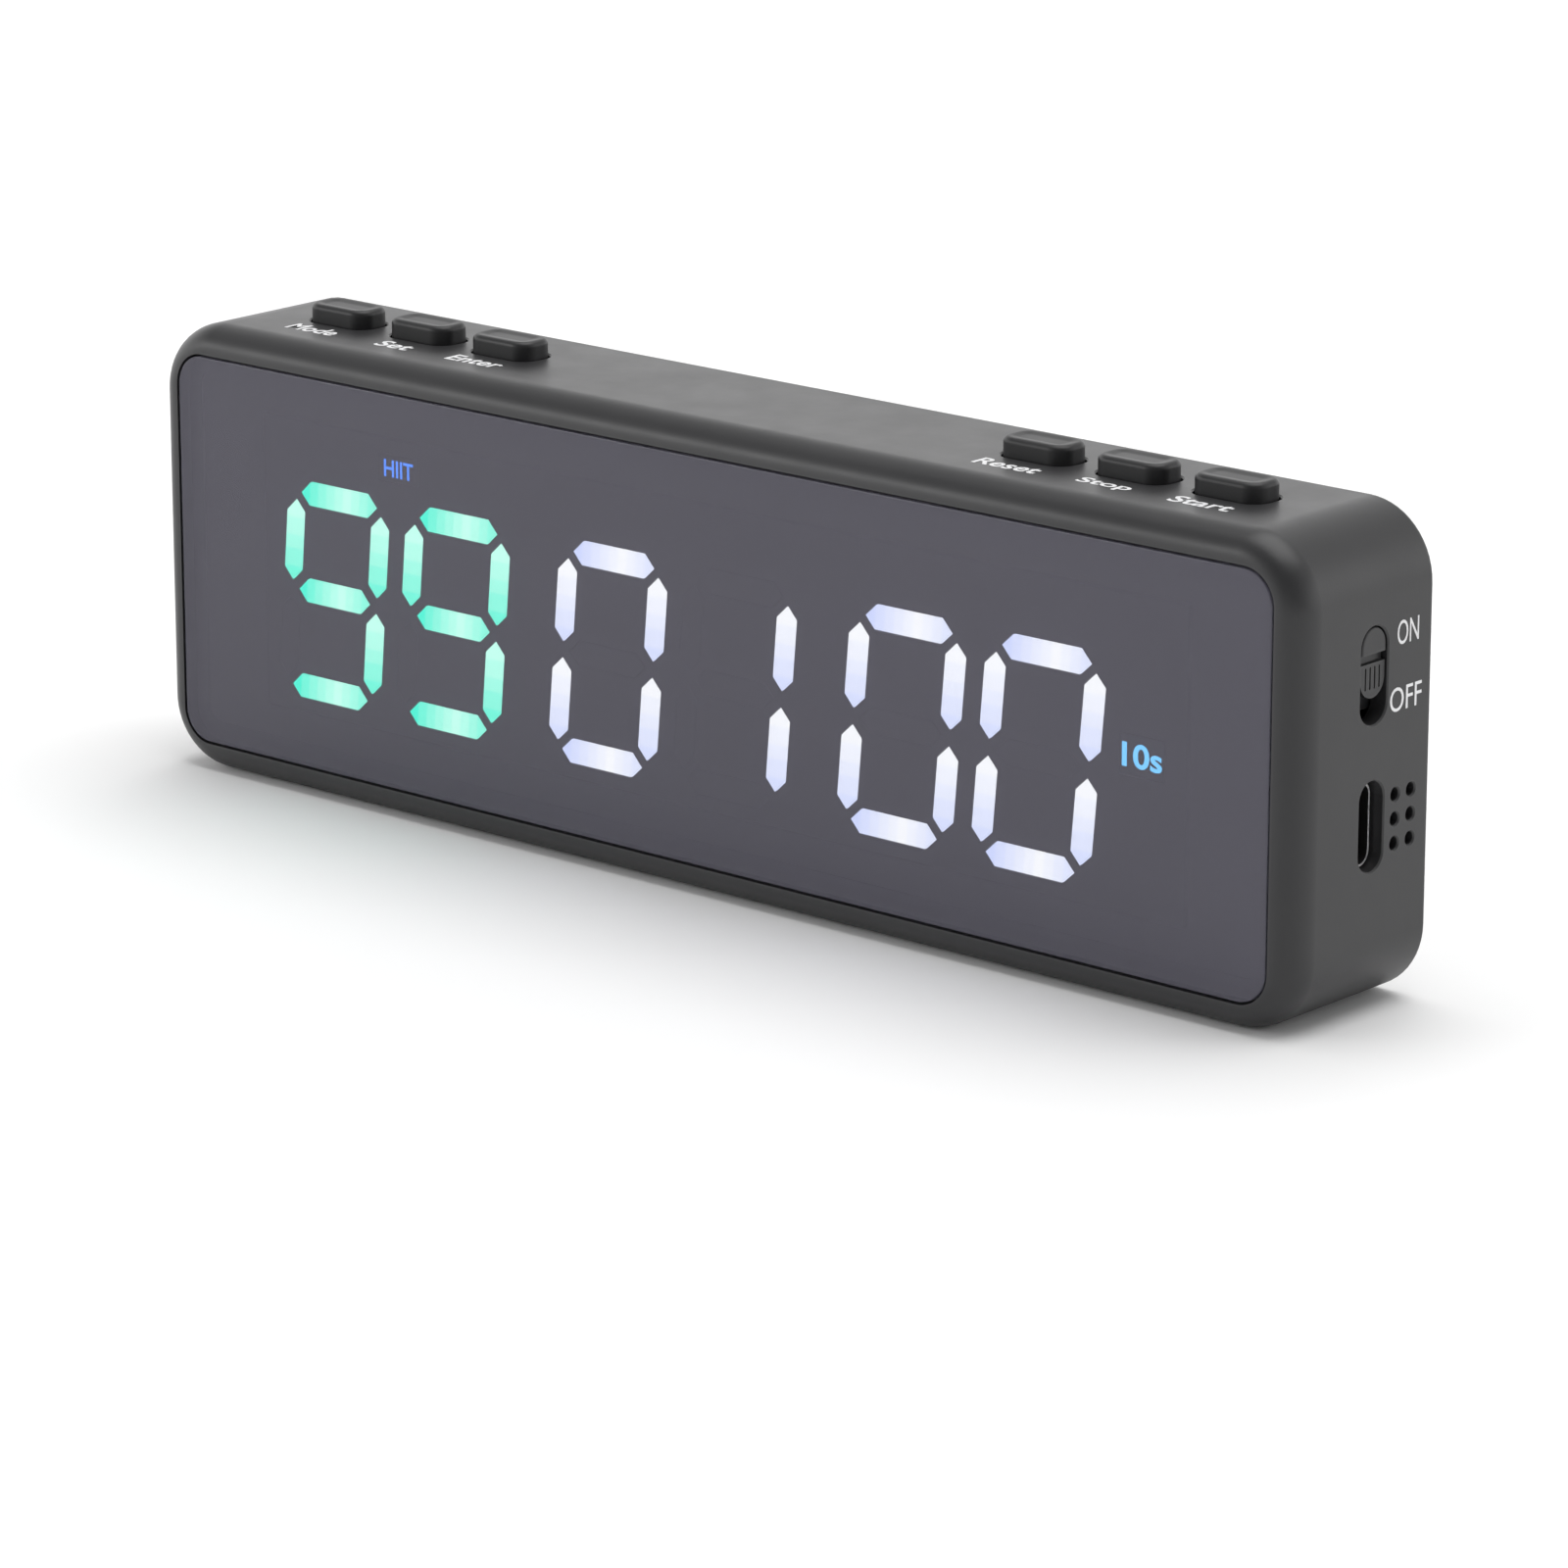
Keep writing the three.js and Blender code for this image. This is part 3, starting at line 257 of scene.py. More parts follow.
def blend_colours(nodes, links, factor, first, second):
    """A colour that follows factor from first to second. Each is a colour or a socket."""
    mix = nodes.new("ShaderNodeMix")
    mix.data_type = "RGBA"
    links.new(factor, mix.inputs["Factor"])
    for socket, colour in ((mix.inputs["A"], first), (mix.inputs["B"], second)):
        if isinstance(colour, tuple):
            socket.default_value = (*colour, 1)
        else:
            links.new(colour, socket)
    return mix.outputs["Result"]


def add_bump(nodes, links, shader, height, distance, strength):
    """Bump of the given depth in metres."""
    bump = nodes.new("ShaderNodeBump")
    bump.inputs["Distance"].default_value = distance
    bump.inputs["Strength"].default_value = strength
    links.new(height, bump.inputs["Height"])
    links.new(bump.outputs["Normal"], shader.inputs["Normal"])


def edge_mask(nodes, links):
    """1 along sharp edges, 0 on flat surfaces: how far a rounded normal leaves the true one."""
    bevel = nodes.new("ShaderNodeBevel")
    bevel.samples = 4
    bevel.inputs["Radius"].default_value = WEAR_RADIUS
    geometry = nodes.new("ShaderNodeNewGeometry")
    dot = nodes.new("ShaderNodeVectorMath")
    dot.operation = "DOT_PRODUCT"
    links.new(bevel.outputs["Normal"], dot.inputs[0])
    links.new(geometry.outputs["Normal"], dot.inputs[1])
    away = nodes.new("ShaderNodeMath")
    away.operation = "SUBTRACT"
    away.inputs[0].default_value = 1
    links.new(dot.outputs["Value"], away.inputs[1])
    return between(nodes, links, away.outputs["Value"], 0, 1, WEAR_START, WEAR_STOP)


def moulded(name, dark, light, rough, grain=5200, grain_depth=0.000012, wear=None):
    """Moulded plastic or rubber: cloudy colour, uneven gloss and a spark-eroded grain."""
    material, nodes, links, shader = new_finish(name)
    clouds = noise(nodes, links, CLOUD_SCALE, detail=4)
    colour = blend_colours(nodes, links, between(nodes, links, clouds, 0, 1), dark, light)
    if wear is not None:
        edges = edge_mask(nodes, links)
        colour = blend_colours(nodes, links, edges, colour, wear)
    links.new(colour, shader.inputs["Base Color"])
    smears = noise(nodes, links, SMEAR_SCALE, detail=5, roughness=0.6)
    gloss = between(nodes, links, smears, rough - 0.02, rough + 0.03, 0.3, 0.7)
    links.new(gloss, shader.inputs["Roughness"])
    add_bump(nodes, links, shader, noise(nodes, links, grain, detail=2), grain_depth, 0.6)
    return material


def metal(name, colour, rough, brush=(1, 1, 30), scale=260):
    """Plated or brushed metal: fine lines that run one way, in colour, gloss and bump."""
    material, nodes, links, shader = new_finish(name)
    shader.inputs["Metallic"].default_value = 1.0
    lines = noise(nodes, links, scale, detail=4, stretch=brush)
    darker = tuple(c * METAL_SHADE for c in colour)
    tint = blend_colours(nodes, links, between(nodes, links, lines, 0, 1), darker, colour)
    links.new(tint, shader.inputs["Base Color"])
    links.new(between(nodes, links, lines, rough - 0.06, rough + 0.1), shader.inputs["Roughness"])
    add_bump(nodes, links, shader, lines, 0.000008, 0.4)
    return material


# %% Case, button and board finishes
case_plastic = moulded(
    "case_plastic", (0.021, 0.021, 0.0225), (0.0245, 0.0245, 0.026), 0.4, wear=(0.04, 0.04, 0.041),
)
slider_plastic = moulded(
    "slider_plastic", (0.02, 0.02, 0.0215), (0.0235, 0.0235, 0.025), 0.42, wear=(0.045, 0.045, 0.045),
)
button_rubber = moulded(
    "button_rubber", (0.007, 0.007, 0.008), (0.010, 0.010, 0.011), 0.45, grain=3800,
    wear=(0.02, 0.02, 0.021),
)
frame_plastic = moulded("display_frame_plastic", (0.006, 0.006, 0.007), (0.009, 0.009, 0.01), 0.8)
component_plastic = moulded("component_plastic", (0.012, 0.012, 0.012), (0.02, 0.02, 0.02), 0.55)
adhesive_tape = moulded("adhesive_tape", (0.008, 0.008, 0.008), (0.012, 0.012, 0.012), 0.9, grain=1800)
foam_tape = moulded("foam_tape", (0.6, 0.58, 0.52), (0.78, 0.75, 0.68), 0.9, grain=1500, grain_depth=0.00006)
circuit_board = moulded("circuit_board", (0.01, 0.09, 0.03), (0.02, 0.14, 0.055), 0.4, grain=2600)
connector_plastic = moulded("connector_plastic", (0.74, 0.7, 0.6), (0.86, 0.83, 0.75), 0.4)
red_insulation = moulded("red_insulation", (0.4, 0.012, 0.012), (0.55, 0.025, 0.02), 0.45)
black_insulation = moulded("black_insulation", (0.01, 0.01, 0.01), (0.016, 0.016, 0.016), 0.45)
battery_pouch = metal("battery_pouch", (0.62, 0.63, 0.65), 0.4, brush=(1, 1, 1), scale=420)
switch_steel = metal("switch_steel", (0.58, 0.58, 0.57), 0.32)
socket_steel = metal("socket_steel", (0.86, 0.86, 0.87), 0.55)
# Near-black paint for the inside of the socket shell: painted shade that stands in for the shadow deep in
# the bore, which is really steel.
bore_painted_shade = moulded("bore_painted_shade", (0.004, 0.004, 0.004), (0.006, 0.006, 0.006), 0.6)
magnet_nickel = metal("magnet_nickel", (0.66, 0.64, 0.6), 0.2)
screw_steel = metal("screw_steel", (0.24, 0.24, 0.25), 0.36, brush=(1, 1, 1), scale=900)
print("finishes so far:", len(bpy.data.materials))

# %% [markdown]
# ## Shaping helpers
# Nearly every part of this timer is a box with rounded corners, pulled along one axis. A cube with
# four of its edges bevelled makes that in two operators, and a second bevel softens one rim. The
# alternative, an extruded outline, needs a list of points for each arc.

# %% Rounded slabs
X, Y, Z = 0, 1, 2


def rounded_slab(low, high, axis, radius, steps):
    """A box from low to high, with the four edges that run along axis bevelled."""
    bm = bmesh.new()
    bmesh.ops.create_cube(bm, size=1)
    low, high = Vector(low), Vector(high)
    bmesh.ops.scale(bm, vec=high - low, verts=bm.verts)
    bmesh.ops.translate(bm, vec=(low + high) / 2, verts=bm.verts)
    across = [i for i in (X, Y, Z) if i != axis]
    edges = [e for e in bm.edges if all(abs(e.verts[0].co[i] - e.verts[1].co[i]) < 1e-9 for i in across)]
    limit = min((high - low)[i] for i in across) / 2
    bmesh.ops.bevel(
        bm, geom=edges, offset=min(radius, limit), offset_type="OFFSET", segments=steps, profile=0.5,
        affect="EDGES", material=-1, clamp_overlap=True,
    )
    bmesh.ops.remove_doubles(bm, verts=bm.verts, dist=1e-6)
    return bm


def soften_rim(bm, axis, level, offset, steps, stretch=1.0):
    """Rounds the rim of the end face that lies at level on axis. stretch makes the rounding
    longer along the axis than across it."""
    shrink = Vector((1, 1, 1))
    shrink[axis] = 1 / stretch
    grow = Vector((1, 1, 1))
    grow[axis] = stretch
    bmesh.ops.scale(bm, vec=shrink, verts=bm.verts)
    edges = [e for e in bm.edges if all(abs(v.co[axis] - level / stretch) < 1e-7 for v in e.verts)]
    bmesh.ops.bevel(
        bm, geom=edges, offset=offset, offset_type="OFFSET", segments=steps, profile=0.5,
        affect="EDGES", material=-1, clamp_overlap=False,
    )
    bmesh.ops.scale(bm, vec=grow, verts=bm.verts)


def sliced(bm, point, normal):
    """Adds the cut of a plane through the whole shape, and leaves it in one piece."""
    everything = bm.verts[:] + bm.edges[:] + bm.faces[:]
    bmesh.ops.bisect_plane(bm, geom=everything, plane_co=point, plane_no=normal)


def thickened(bm, height):
    """Pulls every face up along Z, which makes a solid of a flat outline."""
    pulled = bmesh.ops.extrude_face_region(bm, geom=bm.faces[:])["geom"]
    top = [v for v in pulled if isinstance(v, bmesh.types.BMVert)]
    bmesh.ops.translate(bm, vec=(0, 0, height), verts=top)


def finished(name, bm, material, body, stands_for=()):
    """Turns a bmesh into a piece: smooth shading with sharp creases, a finish and its body."""
    bmesh.ops.remove_doubles(bm, verts=bm.verts, dist=1e-7)
    data = bpy.data.meshes.new(name)
    bm.to_mesh(data)
    bm.free()
    piece = bpy.data.objects.new(name, data)
    scene.collection.objects.link(piece)
    return dress(piece, material, body, stands_for)


def dress(piece, material, body, stands_for=(), smooth=32):
    """Shading, finish and body of a piece whose mesh is ready. smooth is in degrees."""
    data = piece.data
    data.polygons.foreach_set("use_smooth", [True] * len(data.polygons))
    data.set_sharp_from_angle(angle=math.radians(smooth))
    if material is not None:
        data.materials.clear()
        data.materials.append(material)
    weighted = piece.modifiers.new("flat_faces_lead", "WEIGHTED_NORMAL")
    weighted.keep_sharp = True
    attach(piece, body)
    if stands_for:
        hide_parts(*stands_for)
    return piece


def carve(piece, tools, operation="DIFFERENCE"):
    """Cuts tools out of a piece, or joins them to it, one exact boolean for each."""
    for tool in tools:
        modifier = piece.modifiers.new("carve", "BOOLEAN")
        modifier.operation = operation
        modifier.solver = "EXACT"
        modifier.object = tool
        with bpy.context.temp_override(object=piece, active_object=piece):
            bpy.ops.object.modifier_apply(modifier=modifier.name)
        bpy.data.objects.remove(tool)
    return piece


def tool_from(bm, name="tool"):
    """A bmesh as a loose object, to cut or join with."""
    bmesh.ops.remove_doubles(bm, verts=bm.verts, dist=1e-8)
    bmesh.ops.recalc_face_normals(bm, faces=bm.faces)
    data = bpy.data.meshes.new(name)
    bm.to_mesh(data)
    bm.free()
    tool = bpy.data.objects.new(name, data)
    scene.collection.objects.link(tool)
    return tool


def grown(low, high, amount):
    """A box grown by a vector on every side."""
    return Vector(low) - Vector(amount), Vector(high) + Vector(amount)


# %% [markdown]
# ## The housing
# The real housing is one moulding: a tub, open at the back, whose front edge is rounded like an
# ellipse. It is shaped from the outside in, as a toolmaker would: the rounded block first, then the
# hollow, the seats of the cover and the lens, the window, and last the holes for buttons, slider,
# socket and sound. Each hole's cutter flares where it leaves the surface, which gives the hole the
# tiny broken edge that every moulding has and that catches the light.

# %% Sizes of the housing
WALL = 2.0 * MM
CORNER = 7.9 * MM
FRONT_ROUND = 2.9 * MM
FRONT_STRETCH = 3.7 / 2.9
CORNER_STEPS = 14
ROUND_STEPS = 10
LENS_CORNER = 3.6 * MM
LENS_GAP = 0.25 * MM
BROKEN_EDGE = 0.16 * MM
REAR_ROUND = 0.8 * MM
COVER_INSET = 1.4 * MM
COVER_GAP = 0.3 * MM
FAR = 5 * MM
ROOT = 0.4 * MM
HOLE_STEPS = 8
frame_low, frame_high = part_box("display_frame")
lens_seat_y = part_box("lens_adhesive")[1].y + 0.1 * MM
front_wall_y = lens_seat_y + 1.2 * MM
cover_plate_y = case_high.y - 1.8 * MM
cover_ledge_y = cover_plate_y - 0.1 * MM
board_back_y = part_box("controller_chip")[0].y - 0.1 * MM
board_front_y = board_back_y - 1.2 * MM
wall_places = (lens_seat_y, front_wall_y, board_front_y, cover_ledge_y)
print("walls from front to back in mm:", [round(v / MM, 2) for v in wall_places])


def box_middle(node):
    low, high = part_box(node)
    return (low + high) / 2


def hole_cutter(low, high, axis, radius, surface):
    """A rounded cutter along axis whose last stretch flares at the surface it opens."""
    bm = rounded_slab(low, high, axis, radius, HOLE_STEPS)
    normal = Vector((0, 0, 0))
    normal[axis] = 1
    for level in (surface - BROKEN_EDGE, surface):
        sliced(bm, normal * level, normal)
    rim = [v for v in bm.verts if v.co[axis] > surface - 1e-7]
    middle = (Vector(low) + Vector(high)) / 2
    size = Vector(high) - Vector(low)
    flare = [1 if i == axis else (size[i] + 2 * BROKEN_EDGE) / size[i] for i in (X, Y, Z)]
    bmesh.ops.scale(bm, vec=flare, space=Matrix.Translation(-middle), verts=rim)
    return bm


# %% Holes of the housing
BUTTONS = ["mode", "set", "enter", "reset", "stop", "start"]
KEY_GAP = 0.25 * MM
CAP_LENGTH = 8.8 * MM
CAP_DEPTH = 5.0 * MM
CAP_CORNER = 2.0 * MM
SLOT_WIDTH = 4.4 * MM
SLOT_LENGTH = 10.1 * MM
SLOT_DROP = 15.55 * MM
MOUTH_WIDTH = 4.0 * MM
MOUTH_LENGTH = 9.4 * MM
SOUND_RADIUS = 0.68 * MM
SOUND_FROM_BACK = 4.6 * MM
SOUND_PITCH_Y = 2.6 * MM
SOUND_PITCH_Z = 2.55 * MM
cap_places = {name: box_middle(f"button_{name}") for name in BUTTONS}
knob_y = box_middle("slider_knob").y
socket_middle = box_middle("usb_shell")


def button_hole(place):
    half = Vector((CAP_LENGTH / 2 + KEY_GAP, CAP_DEPTH / 2 + KEY_GAP, 0))
    low = Vector((place.x, place.y, case_high.z - WALL - MM)) - half
    high = Vector((place.x, place.y, case_high.z + MM)) + half
    return hole_cutter(low, high, Z, CAP_CORNER + KEY_GAP, case_high.z)


def end_hole(y, z, width, length):
    """A hole with round ends through the right end of the case."""
    low = Vector((case_high.x - WALL - MM, y - width / 2, z - length / 2))
    high = Vector((case_high.x + MM, y + width / 2, z + length / 2))
    return hole_cutter(low, high, X, width / 2, case_high.x)


def all_holes():
    holes = [button_hole(place) for place in cap_places.values()]
    holes.append(end_hole(knob_y, case_high.z - SLOT_DROP, SLOT_WIDTH, SLOT_LENGTH))
    holes.append(end_hole(socket_middle.y, socket_middle.z, MOUTH_WIDTH, MOUTH_LENGTH))
    for column in (-0.5, 0.5):
        for row in (-1, 0, 1):
            y = case_high.y - SOUND_FROM_BACK + column * SOUND_PITCH_Y
            z = socket_middle.z + row * SOUND_PITCH_Z
            holes.append(end_hole(y, z, 2 * SOUND_RADIUS, 2 * SOUND_RADIUS))
    return holes


# %% Bosses and posts
BOSS_RADIUS = 3.0 * MM
BOSS_BORE = 1.35 * MM
POST_RADIUS = 2.0 * MM
POST_BORE = 1.05 * MM
REST_GAP = 0.1 * MM
PILLAR_SEGMENTS = 32


def pillar(x, z, radius, low_y, high_y):
    """A round pillar along Y."""
    bm = bmesh.new()
    bmesh.ops.create_cone(
        bm, cap_ends=True, segments=PILLAR_SEGMENTS, radius1=radius, radius2=radius, depth=high_y - low_y,
    )
    bmesh.ops.rotate(bm, matrix=Matrix.Rotation(math.radians(90), 3, "X"), verts=bm.verts)
    bmesh.ops.translate(bm, vec=(x, (low_y + high_y) / 2, z), verts=bm.verts)
    return bm


def add_pillars(piece, screw_name, radius, bore, end_y):
    """A bored pillar on the front wall for each of the four screws of one kind."""
    for i in SCREW_NUMBERS:
        node = f"{screw_name}_{i}"
        middle = box_middle(node)
        body = pillar(middle.x, middle.z, radius, front_wall_y - ROOT, end_y)
        hole = pillar(middle.x, middle.z, bore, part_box(node)[0].y - MM, end_y + MM)
        carve(piece, [tool_from(body)], "UNION")
        carve(piece, [tool_from(hole)])


# %% Build the housing
WINDOW_GAP = 0.3 * MM
WINDOW_CORNER = 0.5 * MM
EAR_REACH = 2.6 * MM
BOSS_GAP = 0.01 * MM
CASE_SMOOTH = 28


def housing():
    outside = rounded_slab(case_low, case_high, Y, CORNER, CORNER_STEPS)
    soften_rim(outside, Y, case_low.y, FRONT_ROUND, ROUND_STEPS, FRONT_STRETCH)
    soften_rim(outside, Y, case_high.y, REAR_ROUND, 6)
    piece = tool_from(outside, "case_housing")
    inner_low, inner_high = grown(case_low, case_high, (-WALL, FAR, -WALL))
    inner_low.y = front_wall_y
    hollow = rounded_slab(inner_low, inner_high, Y, CORNER - WALL, CORNER_STEPS)
    rebate_inset = COVER_INSET - COVER_GAP
    rebate_low, rebate_high = grown(case_low, case_high, (-rebate_inset, FAR, -rebate_inset))
    rebate_low.y = cover_ledge_y
    rebate = rounded_slab(rebate_low, rebate_high, Y, CORNER - rebate_inset, CORNER_STEPS)
    seat_low, seat_high = grown(lens_low, lens_high, (LENS_GAP, 0, LENS_GAP))
    seat_low.y, seat_high.y = case_low.y - FAR, lens_seat_y
    seat = rounded_slab(seat_low, seat_high, Y, LENS_CORNER + LENS_GAP, CORNER_STEPS)
    side = EAR_REACH - WINDOW_GAP
    window_low = Vector((frame_low.x + side, case_low.y, frame_low.z - WINDOW_GAP))
    window_high = Vector((frame_high.x - side, front_wall_y + FAR, frame_high.z + WINDOW_GAP))
    window = rounded_slab(window_low, window_high, Y, WINDOW_CORNER, 3)
    carve(piece, [tool_from(bm) for bm in (hollow, rebate, seat, window)])
    carve(piece, [tool_from(bm) for bm in all_holes()])
    add_pillars(piece, "cover_screw", BOSS_RADIUS, BOSS_BORE, cover_ledge_y - BOSS_GAP)
    add_pillars(piece, "board_screw", POST_RADIUS, POST_BORE, board_front_y - REST_GAP)
    return dress(piece, case_plastic, "case", ["main_housing"], smooth=CASE_SMOOTH)


print("housing faces:", len(housing().data.polygons))

# %% [markdown]
# ## Turned shapes
# Screws, countersinks and anything else with a round section is drawn as half a profile and spun
# once round. A stack of cones would do for simple shapes, but a spin also takes threads and
# rounded rims, and it closes on itself with no seam.


# %% Turning helper
def spun(points, segments):
    """A solid turned about the Z axis from (radius, height) pairs."""
    bm = bmesh.new()
    verts = [bm.verts.new((radius, 0, height)) for radius, height in points]
    edges = [bm.edges.new(pair) for pair in zip(verts, verts[1:])]
    bmesh.ops.spin(
        bm, geom=verts + edges, cent=(0, 0, 0), axis=(0, 0, 1), angle=math.tau, steps=segments,
        use_merge=True, use_duplicate=False,
    )
    bmesh.ops.remove_doubles(bm, verts=bm.verts, dist=1e-7)
    bmesh.ops.recalc_face_normals(bm, faces=bm.faces)
    return bm


def faced_back(bm, x, face_y, z):
    """Turns a shape made about Z so that its top looks back, and puts its zero at face_y."""
    bmesh.ops.rotate(bm, matrix=Matrix.Rotation(math.radians(-90), 3, "X"), verts=bm.verts)
    bmesh.ops.translate(bm, vec=(x, face_y, z), verts=bm.verts)
    return bm


# %% [markdown]
# ## The rear cover
# The cover is a second moulding: a plate that drops into the back of the housing, two ribs that
# centre it, two cups for the magnets and four countersunk holes. It could be cut from a copy of the
# housing, but a rounded slab of its own keeps the thin gap around it even.

# %% Build the rear cover
COVER_EDGE = 0.3 * MM
RIB_LENGTH = 110 * MM
RIB_THICKNESS = 1.2 * MM
RIB_INSET = 2.3 * MM
RIB_CORNER = 0.3 * MM
CUP_INNER = 6.3 * MM
CUP_OUTER = 7.2 * MM
CUP_HEIGHT = 1.6 * MM
HEAD_RADIUS = 2.3 * MM
HEAD_HEIGHT = 1.1 * MM
HEAD_GAP = 0.2 * MM
SHANK_RADIUS = 1.1 * MM
SHANK_GAP = 0.25 * MM
WIDE_SEGMENTS = 64


def countersink(node):
    """The hole of one cover screw: a bore, a cone and a straight mouth."""
    middle = box_middle(node)
    face_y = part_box(node)[1].y
    wide, narrow = HEAD_RADIUS + HEAD_GAP, SHANK_RADIUS + SHANK_GAP
    profile = [(0, -FAR), (narrow, -FAR), (narrow, -HEAD_HEIGHT), (wide, 0), (wide, FAR), (0, FAR)]
    return faced_back(spun(profile, WIDE_SEGMENTS), middle.x, face_y, middle.z)


def rear_cover():
    plate_low, plate_high = grown(case_low, case_high, (-COVER_INSET, 0, -COVER_INSET))
    plate_low.y = cover_plate_y
    plate = rounded_slab(plate_low, plate_high, Y, CORNER - COVER_INSET, CORNER_STEPS)
    soften_rim(plate, Y, case_high.y, COVER_EDGE, 4)
    piece = tool_from(plate, "case_cover")
    root_y = cover_plate_y + ROOT
    cups = [box_middle(f"magnet_{side}") for side in ("left", "right")]
    added = []
    for z in (case_low.z + RIB_INSET, case_high.z - RIB_INSET - RIB_THICKNESS):
        low = (-RIB_LENGTH / 2, cover_low.y, z)
        high = (RIB_LENGTH / 2, root_y, z + RIB_THICKNESS)
        added.append(rounded_slab(low, high, Y, RIB_CORNER, 3))
    for cup in cups:
        rim = [(CUP_INNER, -CUP_HEIGHT), (CUP_OUTER, -CUP_HEIGHT), (CUP_OUTER, ROOT), (CUP_INNER, ROOT)]
        added.append(faced_back(spun(rim + rim[:1], WIDE_SEGMENTS), cup.x, cover_plate_y, cup.z))
    carve(piece, [tool_from(bm) for bm in added], "UNION")
    carve(piece, [tool_from(countersink(f"cover_screw_{i}")) for i in SCREW_NUMBERS])
    return dress(piece, case_plastic, "case", ["rear_cover"], smooth=CASE_SMOOTH)


print("rear cover faces:", len(rear_cover().data.polygons))

# %% [markdown]
# ## Cover screws
# Each screw is turned, so its profile is drawn once and spun round its axis. The cross recess is
# cut with two crossed blades that taper towards the bottom, as a driver's tip does.

# %% Build the cover screws
SCREW_LENGTH = 8.0 * MM
TIP_LENGTH = 1.0 * MM
CROSS_WIDTH = 0.5 * MM
CROSS_DEPTH = 0.7 * MM
CROSS_REACH = 1.38 * MM
THREAD_PITCH = 0.7 * MM
THREAD_DEPTH = 0.18 * MM
PLAIN_SHANK = 0.5 * MM
TIP_SHARE = 0.6
RIM_WIDTH = 0.12 * MM
RIM_DROP = 0.1 * MM
SCREW_SEGMENTS = 40
SCREW_TURN = math.radians(37)


def screw_profile():
    """(radius, depth) pairs from the middle of the head's face down to the tip."""
    points = [(0, 0), (HEAD_RADIUS - RIM_WIDTH, 0), (HEAD_RADIUS, -RIM_DROP), (SHANK_RADIUS, -HEAD_HEIGHT)]
    depth = -HEAD_HEIGHT - PLAIN_SHANK
    while depth > -SCREW_LENGTH + TIP_LENGTH:
        points += [(SHANK_RADIUS, depth), (SHANK_RADIUS - THREAD_DEPTH, depth - THREAD_PITCH / 2)]
        depth -= THREAD_PITCH
    return points + [(SHANK_RADIUS * TIP_SHARE, -SCREW_LENGTH), (0, -SCREW_LENGTH)]


def cross_blade(turn):
    """One blade of the cross recess, narrower and shorter at its bottom."""
    bm = bmesh.new()
    bmesh.ops.create_cube(bm, size=1)
    bmesh.ops.scale(bm, vec=(2 * CROSS_REACH, CROSS_WIDTH, 2 * CROSS_DEPTH), verts=bm.verts)
    bottom = [v for v in bm.verts if v.co.z < 0]
    bmesh.ops.scale(bm, vec=(0.45, 0.6, 1), verts=bottom)
    bmesh.ops.rotate(bm, matrix=Matrix.Rotation(turn, 3, "Z"), verts=bm.verts)
    return bm


for i in SCREW_NUMBERS:
    low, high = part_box(f"cover_screw_{i}")
    screw = tool_from(spun(screw_profile(), SCREW_SEGMENTS), f"case_screw_{i}")
    tilt = SCREW_TURN * i
    carve(screw, [tool_from(cross_blade(tilt)), tool_from(cross_blade(tilt + math.radians(90)))])
    turned = Matrix.Rotation(math.radians(-90), 4, "X")
    place = ((low.x + high.x) / 2, high.y, (low.z + high.z) / 2)
    screw.data.transform(Matrix.Translation(place) @ turned)
    dress(screw, screw_steel, "case", [f"cover_screw_{i}"], smooth=30)
print("cover screw length in mm:", SCREW_LENGTH / MM)

# %% [markdown]
# ## The smoked lens
# The lens is a tinted acrylic sheet with small polished edges. Dark from outside, it still lets
# bright segments through. Real absorption in a solid would do this too, but a plain alpha on one
# shader gives the same look, stays free of noise and is kept when the model is exported.

# %% Build the lens
LENS_EDGE = 0.2 * MM
LENS_ALPHA = 0.6


def lens_finish():
    """Glossy violet-grey acrylic with a faint ripple and hairline smears in its polish."""
    material, nodes, links, shader = new_finish("smoked_lens")
    clouds = noise(nodes, links, 22, detail=2)
    tint = blend_colours(nodes, links, clouds, (0.116, 0.111, 0.145), (0.120, 0.115, 0.149))
    links.new(tint, shader.inputs["Base Color"])
    smears = noise(nodes, links, 30, detail=1, stretch=(0.5, 1, 2.2))
    links.new(between(nodes, links, smears, 0.12, 0.15), shader.inputs["Roughness"])
    add_bump(nodes, links, shader, noise(nodes, links, 18, detail=1), 0.00002, 0.15)
    shader.inputs["Alpha"].default_value = LENS_ALPHA
    shader.inputs["IOR"].default_value = 1.49
    return material


lens = rounded_slab(lens_low, lens_high, Y, LENS_CORNER, CORNER_STEPS)
for level in (lens_low.y, lens_high.y):
    soften_rim(lens, Y, level, LENS_EDGE, 3)
bmesh.ops.recalc_face_normals(lens, faces=lens.faces)
finished("smoked_lens", lens, lens_finish(), "case", ["front_lens"])
print("lens size in mm:", [round(v / MM, 2) for v in lens_high - lens_low])

# %% [markdown]
# ## The digits
# Each digit is a milky plate with seven raised bars, and a light behind each bar that is on. A bar is
# brightest near its light and fades towards one end. A glow painted with a gradient would be lost on
# export, because only plain emission values are kept. Each bar is sliced across its length, and every
# slice takes the plain glow of its own level, so the fade needs no gradient in a shader.

# %% Glow finishes
GLOW_LEVELS = 6


def glow_finish(name, colour, strength, base):
    """Milky plastic with a light behind it. A fine speckle in the base is the diffuser's filler."""
    material, nodes, links, shader = new_finish(name)
    speckle = noise(nodes, links, 3500, detail=2)
    tint = blend_colours(nodes, links, speckle, tuple(c * 0.7 for c in base), base)
    links.new(tint, shader.inputs["Base Color"])
    links.new(between(nodes, links, noise(nodes, links, 300), 0.4, 0.55), shader.inputs["Roughness"])
    add_bump(nodes, links, shader, speckle, 0.00001, 0.3)
    shader.inputs["Emission Color"].default_value = (*colour, 1)
    shader.inputs["Emission Strength"].default_value = strength
    return material


